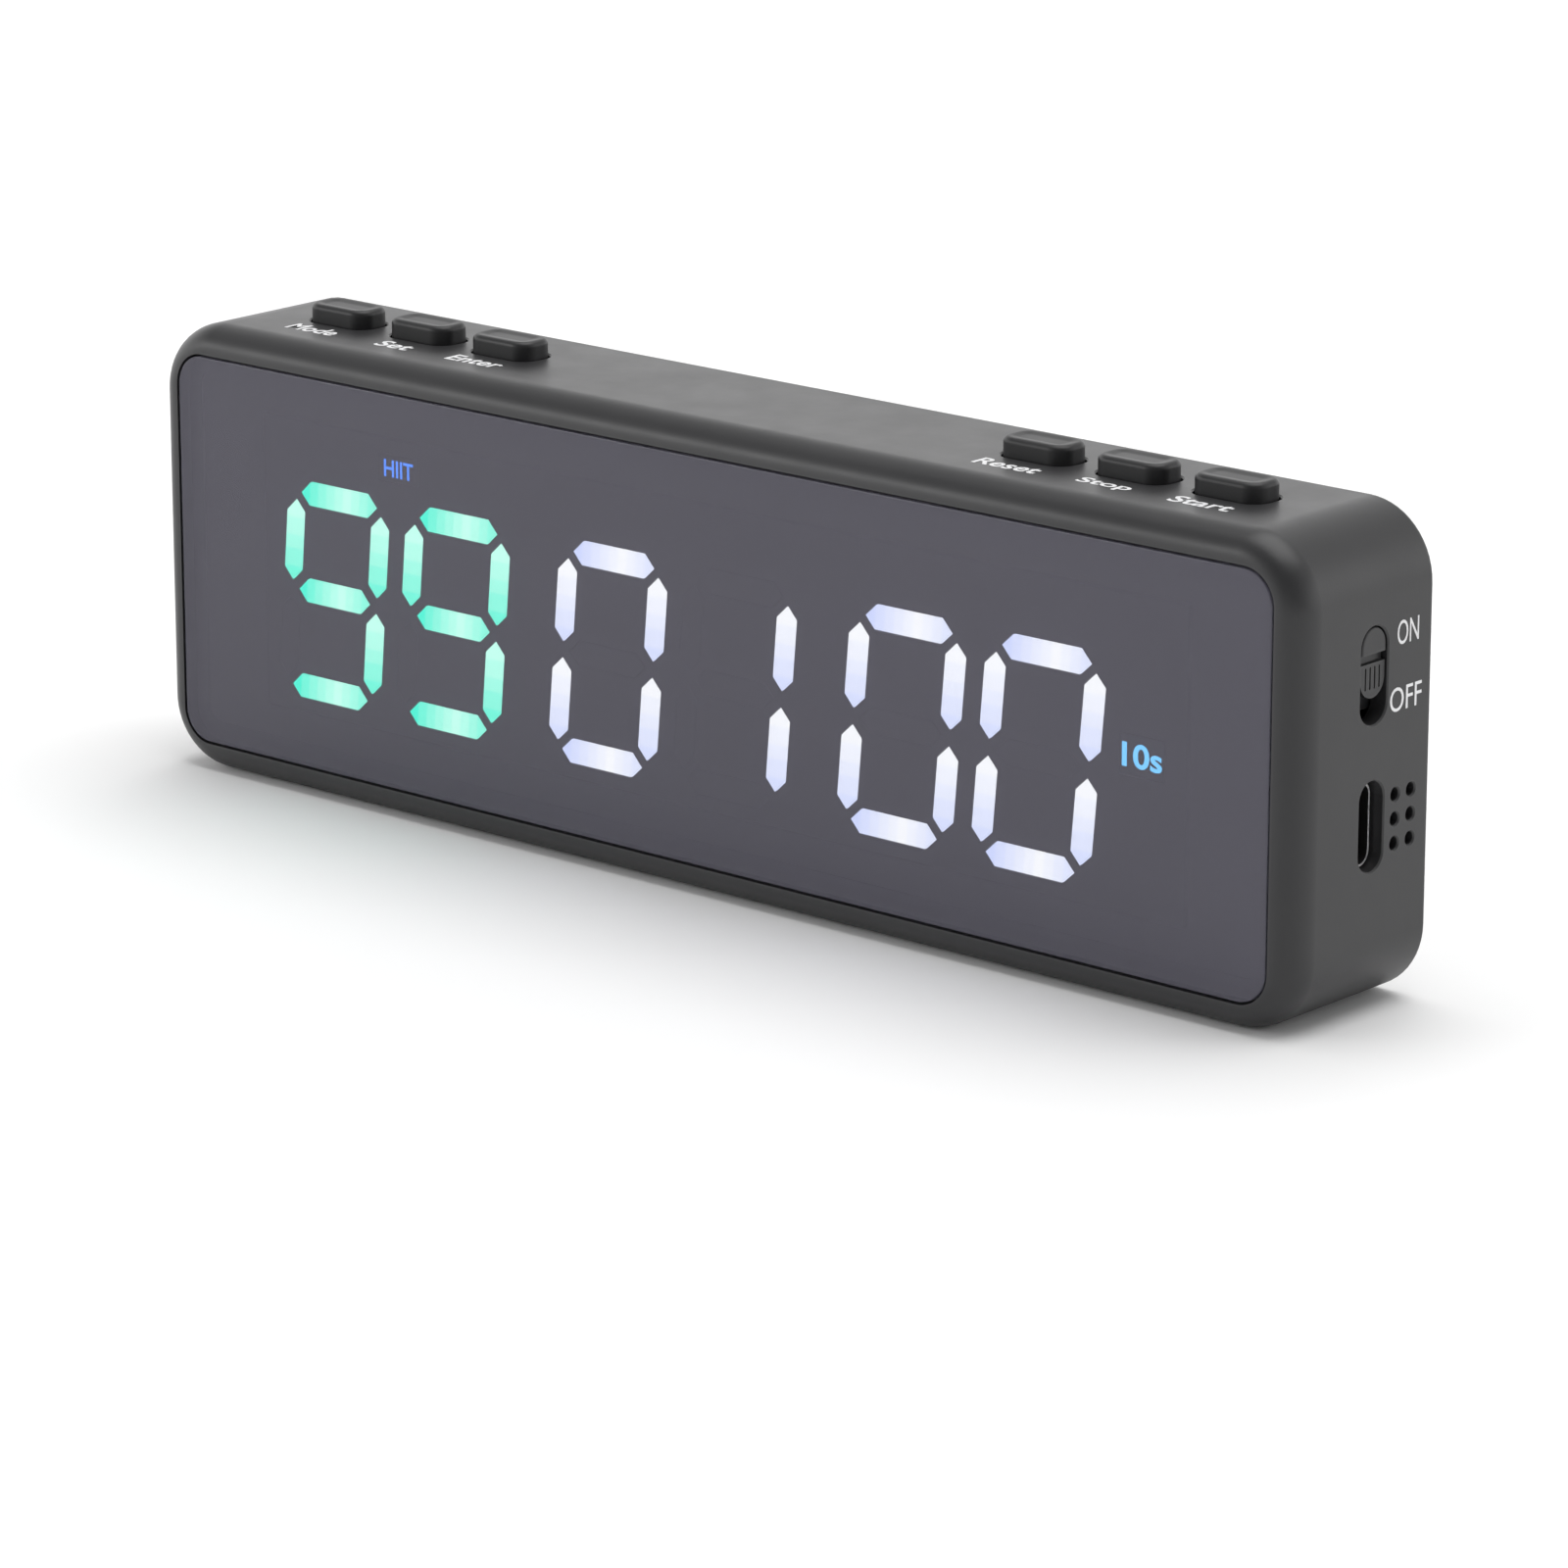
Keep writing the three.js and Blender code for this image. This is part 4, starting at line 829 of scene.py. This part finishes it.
def glow_ramp(name, deep, pale, strength):
    """Finishes from the deep end of a glow to its pale, bright middle."""
    steps = []
    for i in range(GLOW_LEVELS):
        share = i / (GLOW_LEVELS - 1)
        colour = tuple(d + (p - d) * share for d, p in zip(deep, pale))
        steps.append(glow_finish(f"{name}_{i + 1}", colour, strength, (0.3, 0.3, 0.3)))
    return steps


GLOW_STRENGTH = 6.0
green_glow = glow_ramp("green_glow", (0.0, 0.8, 0.56), (0.46, 0.92, 0.76), GLOW_STRENGTH)
white_glow = glow_ramp("white_glow", (0.52, 0.59, 0.87), (0.84, 0.86, 0.88), GLOW_STRENGTH)
deep_blue_glow = glow_finish("deep_blue_glow", (0.05, 0.24, 1.0), GLOW_STRENGTH, (0.1, 0.15, 0.3))
pale_blue_glow = glow_finish("pale_blue_glow", (0.14, 0.56, 1.0), GLOW_STRENGTH, (0.1, 0.15, 0.3))
unlit_bar = moulded("unlit_bar", (0.010, 0.010, 0.011), (0.014, 0.014, 0.015), 0.6)
milky_plate = moulded("milky_plate", (0.05, 0.05, 0.05), (0.065, 0.065, 0.065), 0.55)
print("glow finishes:", 2 * GLOW_LEVELS + 2)

# %% Bars
DIGIT_HEIGHT = 22.2 * MM
DIGIT_WIDTH = 13.0 * MM
BAR_THICKNESS = 2.65 * MM
BAR_TIP_GAP = 0.75 * MM
MIDDLE_TIP_GAP = 1.1 * MM
POST_TIP_GAP = 0.95 * MM
SLANT = math.tan(math.radians(5))
PLATE_THICKNESS = 0.8 * MM
PLATE_CORNER = 0.4 * MM
BAR_ROOT = 0.05 * MM
SLICES = 18
BARS = {
    "a": (0, 1, False), "g": (0, 0, False), "d": (0, -1, False),
    "f": (-1, 0.5, True), "b": (1, 0.5, True), "e": (-1, -0.5, True), "c": (1, -0.5, True),
}
FIGURES = {"0": "abcdef", "1": "bc", "9": "abcdfg"}


def glow_level(share, upright):
    """Which level a slice shows, at a share of the bar's length from its left or lower end."""
    if upright:
        bright = min(1, 0.1 + 1.05 * share)
    else:
        bright = 1 - abs(share - 0.62) * 1.7
    return max(0, min(GLOW_LEVELS - 1, round(bright * (GLOW_LEVELS - 1))))


def pointed_bar(length, upright, low_y, high_y):
    """A bar with pointed ends in the XZ plane, sliced across its length and pulled along Y."""
    half = BAR_THICKNESS / 2
    bm = bmesh.new()
    bmesh.ops.create_circle(bm, cap_ends=True, segments=6, radius=2 * half)
    bmesh.ops.rotate(bm, matrix=Matrix.Rotation(math.radians(30), 3, "Z"), verts=bm.verts)
    bmesh.ops.scale(bm, vec=(1, 1 / math.sqrt(3), 1), verts=bm.verts)
    for side in (-1, 1):
        end = [v for v in bm.verts if v.co.x * side > 0]
        bmesh.ops.translate(bm, vec=(side * (length / 2 - 2 * half), 0, 0), verts=end)
    for i in range(1, SLICES):
        sliced(bm, Vector(((i / SLICES - 0.5) * length, 0, 0)), (1, 0, 0))
    thickened(bm, high_y - low_y)
    for face in bm.faces:
        share = face.calc_center_median().x / length + 0.5
        face.material_index = 1 + glow_level(share, upright)
    if upright:
        bmesh.ops.rotate(bm, matrix=Matrix.Rotation(math.radians(90), 3, "Z"), verts=bm.verts)
    bmesh.ops.rotate(bm, matrix=Matrix.Rotation(math.radians(90), 3, "X"), verts=bm.verts)
    bmesh.ops.translate(bm, vec=(0, high_y, 0), verts=bm.verts)
    return bm


# %% Digits
def join_bm(target, source):
    """Adds the geometry of one bmesh to another, with its material numbers."""
    data = bpy.data.meshes.new("joining")
    bmesh.ops.recalc_face_normals(source, faces=source.faces)
    source.to_mesh(data)
    source.free()
    target.from_mesh(data)
    bpy.data.meshes.remove(data)


def digit(number, figure, glow):
    """The plate and bars of one digit. Slot 0 is the plate, then the glow levels, then unlit."""
    low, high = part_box(f"digit_{number}")
    middle = (low + high) / 2
    plate_y = high.y - PLATE_THICKNESS
    bm = bmesh.new()
    for letter, (side, level, upright) in BARS.items():
        gap = POST_TIP_GAP if upright else BAR_TIP_GAP if level else MIDDLE_TIP_GAP
        length = (DIGIT_HEIGHT / 2 if upright else DIGIT_WIDTH) - 2 * gap
        bar = pointed_bar(length, upright, low.y, plate_y + BAR_ROOT)
        if letter not in FIGURES[figure]:
            for face in bar.faces:
                face.material_index = GLOW_LEVELS + 1
        bmesh.ops.translate(bar, vec=(side * DIGIT_WIDTH / 2, 0, level * DIGIT_HEIGHT / 2), verts=bar.verts)
        join_bm(bm, bar)
    lean = SLANT * (high.z - low.z)
    half_width = (high.x - low.x - lean) / 2
    plate_low = (-half_width, plate_y, low.z - middle.z)
    plate_high = (half_width, high.y, high.z - middle.z)
    join_bm(bm, rounded_slab(plate_low, plate_high, Y, PLATE_CORNER, 3))
    shear = Matrix.Identity(4)
    shear[0][2] = SLANT
    bmesh.ops.transform(bm, matrix=shear, verts=bm.verts)
    bmesh.ops.translate(bm, vec=(middle.x, 0, middle.z), verts=bm.verts)
    data = bpy.data.meshes.new(f"digit_bars_{number}")
    bm.to_mesh(data)
    bm.free()
    piece = bpy.data.objects.new(f"digit_bars_{number}", data)
    scene.collection.objects.link(piece)
    for material in [milky_plate, *glow, unlit_bar]:
        data.materials.append(material)
    return dress(piece, None, "case", [f"digit_{number}"])


SHOWN = "990100"
GREEN_DIGITS = 2
for number, figure in enumerate(SHOWN, 1):
    digit(number, figure, green_glow if number <= GREEN_DIGITS else white_glow)
print("digits made:", len(SHOWN))

# %% [markdown]
# ## Lit words and printed words
# Two small signs stand beside the digits, and short words are printed next to the buttons and the
# slider. Text objects give clean outlines. Each is turned into a mesh, scaled to the height and
# width it has on the timer, and laid on its surface as a thin layer of ink or light.

# %% Text helper
INK_THICKNESS = 0.02 * MM
ink = moulded("printed_ink", (0.72, 0.72, 0.73), (0.86, 0.86, 0.87), 0.6, grain=4200, grain_depth=0.000008)


def word(name, text, width, height, place, right, up, material, weight=0.0):
    """Flat lettering centred on place, width along right and height along up."""
    curve = bpy.data.curves.new(name, "FONT")
    curve.body = text
    curve.align_x = "CENTER"
    curve.resolution_u = 4
    curve.offset = weight
    loose = bpy.data.objects.new(name, curve)
    scene.collection.objects.link(loose)
    bpy.context.view_layer.update()
    shaped = loose.evaluated_get(bpy.context.evaluated_depsgraph_get())
    data = bpy.data.meshes.new_from_object(shaped)
    bpy.data.objects.remove(loose)
    bm = bmesh.new()
    bm.from_mesh(data)
    bpy.data.meshes.remove(data)
    bmesh.ops.remove_doubles(bm, verts=bm.verts, dist=1e-5)
    low = Vector([min(v.co[i] for v in bm.verts) for i in (X, Y, Z)])
    high = Vector([max(v.co[i] for v in bm.verts) for i in (X, Y, Z)])
    size = high - low
    bmesh.ops.translate(bm, vec=-(low + high) / 2, verts=bm.verts)
    bmesh.ops.scale(bm, vec=(width / size.x, height / size.y, 1), verts=bm.verts)
    thickened(bm, INK_THICKNESS)
    right, up = Vector(right), Vector(up)
    turn = Matrix((right, up, right.cross(up))).transposed().to_4x4()
    bmesh.ops.transform(bm, matrix=Matrix.Translation(place) @ turn, verts=bm.verts)
    bmesh.ops.recalc_face_normals(bm, faces=bm.faces)
    return finished(name, bm, material, "case")


# %% Printed words
ALONG_X, ALONG_Y, ALONG_Z = (1, 0, 0), (0, 1, 0), (0, 0, 1)
LABEL_Y = -3.85 * MM
LABEL_HEIGHT = 2.5 * MM
LABEL_WEIGHT = 0.018
LABELS = {
    "mode": ("Mode", -62.3, 7.0), "set": ("Set", -49.7, 4.9), "enter": ("Enter", -37.5, 7.5),
    "reset": ("Reset", 37.3, 8.1), "stop": ("Stop", 49.7, 6.8), "start": ("Start", 62.2, 7.6),
}
for name, (text, x, width) in LABELS.items():
    place = Vector((x * MM, LABEL_Y, case_high.z))
    word(
        f"print_{name}", text, width * MM, LABEL_HEIGHT, place, ALONG_X, ALONG_Y, ink,
        weight=LABEL_WEIGHT,
    )
SIDE_PRINTS = {"on": ("ON", 4.95, 8.5, 38.0, 40.5), "off": ("OFF", 3.95, 9.2, 31.2, 33.7)}
for name, (text, y0, y1, z0, z1) in SIDE_PRINTS.items():
    place = Vector((case_high.x, (y0 + y1) / 2 * MM, (z0 + z1) / 2 * MM))
    width, height = (y1 - y0) * MM, (z1 - z0) * MM
    word(f"print_{name}", text, width, height, place, ALONG_Y, ALONG_Z, ink)
print("printed words:", len(LABELS) + len(SIDE_PRINTS))

# %% Lit signs
PANE_INSET = 0.4 * MM
PANE_CORNER = 0.3 * MM
SIGNS = {
    "mode_sign": ("HIIT", 4.4, 1.9, 0.012, deep_blue_glow),
    "seconds_sign": ("10s", 5.1, 2.6, 0.022, pale_blue_glow),
}
for node, (text, width, height, weight, glow) in SIGNS.items():
    low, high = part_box(node)
    middle = (low + high) / 2
    pane_low, pane_high = grown(low, high, (-PANE_INSET, 0, -PANE_INSET))
    pane = rounded_slab(pane_low, pane_high, Y, PANE_CORNER, 3)
    back_low = (low.x, high.y - PLATE_THICKNESS, low.z)
    join_bm(pane, rounded_slab(back_low, high, Y, PANE_CORNER, 3))
    finished(f"{node}_pane", pane, frame_plastic, "case", [node])
    place = Vector((middle.x, low.y, middle.z))
    word(
        f"{node}_word", text, width * MM, height * MM, place, ALONG_X, ALONG_Z, glow,
        weight=weight,
    )
print("signs:", ", ".join(SIGNS))

# %% [markdown]
# ## The buttons
# Each rubber-touch cap is a rounded block with soft edges and a slightly dished top. Under the
# case's top it has a flange, which keeps it in, and a stem, which presses the switch. The top face
# is inset in rings and the rings are pushed down step by step, which makes the dish without a
# sculpting tool.

# %% Build the caps
CAP_EDGE = 0.6 * MM
FLANGE_REACH = 0.9 * MM
FLANGE_THICKNESS = 0.8 * MM
FLANGE_GAP = 0.3 * MM
STEM_HALF = Vector((1.5 * MM, 1.3 * MM, 0))
STEM_CORNER = 0.3 * MM
STEM_ROOT = 0.1 * MM
CAP_STEPS = 10
DISH_DEPTH = 0.16 * MM
DISH_RINGS = 5
RING_WIDTH = 0.24 * MM


def eased(share):
    """0 to 1 with a slow start and a slow end."""
    return share * share * (3 - 2 * share)


def upright_block(middle, half, low_z, high_z, radius, steps):
    """A rounded block about middle, from low_z to high_z."""
    low, high = middle - half, middle + half
    low.z, high.z = low_z, high_z
    return rounded_slab(low, high, Z, radius, steps)


def button_cap(name, place):
    low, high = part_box(f"button_{name}")
    flange_high = case_high.z - WALL - FLANGE_GAP
    flange_low = flange_high - FLANGE_THICKNESS
    half = Vector((CAP_LENGTH / 2, CAP_DEPTH / 2, 0))
    middle = Vector((place.x, place.y, 0))
    cap = upright_block(middle, half, flange_low, high.z, CAP_CORNER, CAP_STEPS)
    soften_rim(cap, Z, high.z, CAP_EDGE, 6)
    top = [f for f in cap.faces if all(abs(v.co.z - high.z) < 1e-7 for v in f.verts)]
    for ring in range(1, DISH_RINGS + 1):
        bmesh.ops.inset_region(cap, faces=top, thickness=RING_WIDTH, depth=0, use_even_offset=True)
        drop = DISH_DEPTH * (eased(ring / DISH_RINGS) - eased((ring - 1) / DISH_RINGS))
        bmesh.ops.translate(cap, vec=(0, 0, -drop), verts=list({v for f in top for v in f.verts}))
    reach = half + Vector((FLANGE_REACH, FLANGE_REACH, 0))
    flange = upright_block(middle, reach, flange_low, flange_high, CAP_CORNER + FLANGE_REACH, CAP_STEPS)
    stem = upright_block(middle, STEM_HALF, low.z, flange_high - STEM_ROOT, STEM_CORNER, 3)
    piece = tool_from(cap, f"cap_{name}")
    carve(piece, [tool_from(flange), tool_from(stem)], "UNION")
    return dress(piece, button_rubber, f"button_{name}", [f"button_{name}"], smooth=40)


for name, place in cap_places.items():
    button_cap(name, place)
print("caps:", ", ".join(cap_places))

# %% [markdown]
# ## The power slider
# The knob fills the upper part of its slot when the timer is on. A deep groove splits it. Above the
# groove it is flush with the case, and below it the face is sunk and ribbed for a fingertip. All of
# this is cut from one rounded slab, because the real knob is one moulding too.

# %% Build the knob
KNOB_WIDTH = 4.0 * MM
KNOB_LENGTH = 7.3 * MM
KNOB_EDGE = 0.3 * MM
GROOVE_WIDTH = 1.0 * MM
GROOVE_DEPTH = 0.7 * MM
GROOVE_DROP = 3.2 * MM
GROOVE_CORNER = 0.25 * MM
GRIP_SUNK = 0.2 * MM
FLANGE_END_GAP = 0.3 * MM
FLANGE_CORNER = 1.0 * MM
FINE_CORNER = 0.1 * MM
LEVER_HALF = Vector((0, 1.0 * MM, 1.8 * MM))
LEVER_DEPTH = 1.5 * MM
RIB_PITCH = 0.75 * MM
FURROW_DEPTH = 0.14 * MM
FURROW_FRONT = 0.1 * MM
FURROW_BACK = 0.14 * MM
FURROW_CORNER = 0.13 * MM
FURROW_FOOT = 0.9 * MM
FURROW_HEAD = 0.35 * MM


def power_knob():
    low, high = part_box("slider_knob")
    middle = (low + high) / 2
    half = Vector((0, KNOB_WIDTH / 2, KNOB_LENGTH / 2))
    level = Vector((0, middle.y, middle.z))
    body_low, body_high = level - half, level + half
    body_low.x, body_high.x = low.x, high.x
    body = rounded_slab(body_low, body_high, X, KNOB_WIDTH / 2, 12)
    soften_rim(body, X, high.x, KNOB_EDGE, 4)
    flange_high = Vector((case_high.x - WALL - FLANGE_END_GAP, high.y, high.z))
    flange = rounded_slab(low, flange_high, X, FLANGE_CORNER, 6)
    piece = tool_from(body, "power_knob")
    carve(piece, [tool_from(flange)], "UNION")
    groove_z = body_high.z - GROOVE_DROP
    groove_foot = groove_z - GROOVE_WIDTH / 2
    groove_low = (high.x - GROOVE_DEPTH, low.y, groove_foot)
    groove_high = (high.x + MM, high.y, groove_z + GROOVE_WIDTH / 2)
    groove = rounded_slab(groove_low, groove_high, Y, GROOVE_CORNER, 3)
    grip_x = high.x - GRIP_SUNK
    over_grip = rounded_slab((grip_x, low.y, low.z - MM), (high.x + MM, high.y, groove_z), Y, FINE_CORNER, 3)
    lever_low, lever_high = level - LEVER_HALF, level + LEVER_HALF
    lever_low.x, lever_high.x = low.x - MM, low.x + LEVER_DEPTH
    pocket = rounded_slab(lever_low, lever_high, X, FINE_CORNER, 2)
    cuts = [tool_from(groove), tool_from(over_grip), tool_from(pocket)]
    for line in (-1.5, -0.5, 0.5, 1.5):
        y = level.y + line * RIB_PITCH
        furrow_low = (grip_x - FURROW_DEPTH, y - FURROW_FRONT, body_low.z + FURROW_FOOT)
        furrow_high = (high.x + MM, y + FURROW_BACK, groove_foot - FURROW_HEAD)
        cuts.append(tool_from(rounded_slab(furrow_low, furrow_high, X, FURROW_CORNER, 4)))
    carve(piece, cuts)
    return dress(piece, slider_plastic, "power_slider", ["slider_knob"], smooth=35)


print("knob faces:", len(power_knob().data.polygons))

# %% [markdown]
# ## The charging socket
# A drawn steel shell with a rolled mouth holds a thin tongue with gold contacts on both faces. The faces
# inside the shell are painted near-black: painted shade for the dark depth of the bore, though the real
# shell is steel inside. The shell is a ring: a slab with a smaller one cut from it.

# %% Build the socket
SHELL_WALL = 0.3 * MM
SHELL_EDGE = 0.1 * MM
TONGUE_LENGTH = 6.7 * MM
TONGUE_THICKNESS = 0.7 * MM
TONGUE_CORNER = 0.2 * MM
BASE_LENGTH = 2.0 * MM
CONTACTS = 8
CONTACT_START = 2.1 * MM
CONTACT_END_GAP = 0.6 * MM
CONTACT_HALF = Vector((0, 0.03 * MM, 0.16 * MM))
CONTACT_CORNER = 0.05 * MM
contact_gold = metal("contact_gold", (0.9, 0.66, 0.28), 0.25, brush=(20, 1, 1), scale=900)


def socket_shell():
    low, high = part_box("usb_shell")
    radius = (high.y - low.y) / 2
    outer = rounded_slab(low, high, X, radius, 12)
    soften_rim(outer, X, high.x, SHELL_EDGE, 3)
    bore_low, bore_high = grown(low, high, (MM, -SHELL_WALL, -SHELL_WALL))
    piece = tool_from(outer, "socket_shell")
    carve(piece, [tool_from(rounded_slab(bore_low, bore_high, X, radius - SHELL_WALL, 12))])
    middle = (low + high) / 2
    # Faces that look into the bore take the near-black finish, which paints the shade inside the socket.
    for material in (socket_steel, bore_painted_shade):
        piece.data.materials.append(material)
    for face in piece.data.polygons:
        out = face.center - middle
        facing_in = face.normal.y * out.y + face.normal.z * out.z < -1e-5
        face.material_index = 1 if facing_in else 0
    return dress(piece, None, "case", ["usb_shell"], smooth=35)


def socket_tongue():
    low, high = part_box("usb_tongue")
    middle = (low + high) / 2
    base_high = (low.x + BASE_LENGTH, high.y, high.z)
    base = rounded_slab(low, base_high, X, (high.y - low.y) / 2, 10)
    half = Vector((0, TONGUE_THICKNESS / 2, TONGUE_LENGTH / 2))
    blade_low, blade_high = middle - half, middle + half
    blade_low.x, blade_high.x = low.x + MM, high.x
    blade = rounded_slab(blade_low, blade_high, X, TONGUE_CORNER, 3)
    piece = tool_from(base, "socket_tongue")
    carve(piece, [tool_from(blade)], "UNION")
    piece.data.materials.append(component_plastic)
    bm = bmesh.new()
    bm.from_mesh(piece.data)
    for i in range(CONTACTS):
        z = middle.z + (i - (CONTACTS - 1) / 2) * TONGUE_LENGTH / (CONTACTS + 1)
        for side in (-1, 1):
            place = Vector((0, middle.y + side * half.y, z))
            strip_low, strip_high = place - CONTACT_HALF, place + CONTACT_HALF
            strip_low.x, strip_high.x = low.x + CONTACT_START, high.x - CONTACT_END_GAP
            strip = rounded_slab(strip_low, strip_high, Y, CONTACT_CORNER, 2)
            for face in strip.faces:
                face.material_index = 1
            join_bm(bm, strip)
    bm.to_mesh(piece.data)
    bm.free()
    piece.data.materials.append(contact_gold)
    return dress(piece, None, "case", ["usb_tongue"], smooth=35)


socket_shell()
socket_tongue()
print("socket contacts:", 2 * CONTACTS)

# %% [markdown]
# ## Inner parts
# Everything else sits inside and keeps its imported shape: the frame that parts the light, the board,
# the switches, the battery with its leads, the sounder and the magnets. These need finishes only,
# so each node's own material slots are filled.

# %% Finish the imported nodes
INNER = {
    "lens_adhesive": adhesive_tape, "display_frame": frame_plastic, "main_board": circuit_board,
    "controller_chip": component_plastic, "buzzer": component_plastic, "battery_pad": foam_tape,
    "battery": battery_pouch, "battery_socket": connector_plastic, "battery_plug": connector_plastic,
    "battery_lead_red": red_insulation, "battery_lead_black": black_insulation,
    "slide_switch_lever": component_plastic, "slide_switch_body": switch_steel,
    "magnet_left": magnet_nickel, "magnet_right": magnet_nickel,
}
INNER.update({f"board_screw_{i}": screw_steel for i in SCREW_NUMBERS})
for name in BUTTONS:
    INNER[f"push_switch_{name}"] = component_plastic
    INNER[f"plunger_{name}"] = component_plastic
for node, material in INNER.items():
    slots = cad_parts[node].data.materials
    slots.clear()
    slots.append(material)
print("packed nodes with a finish:", len(INNER))
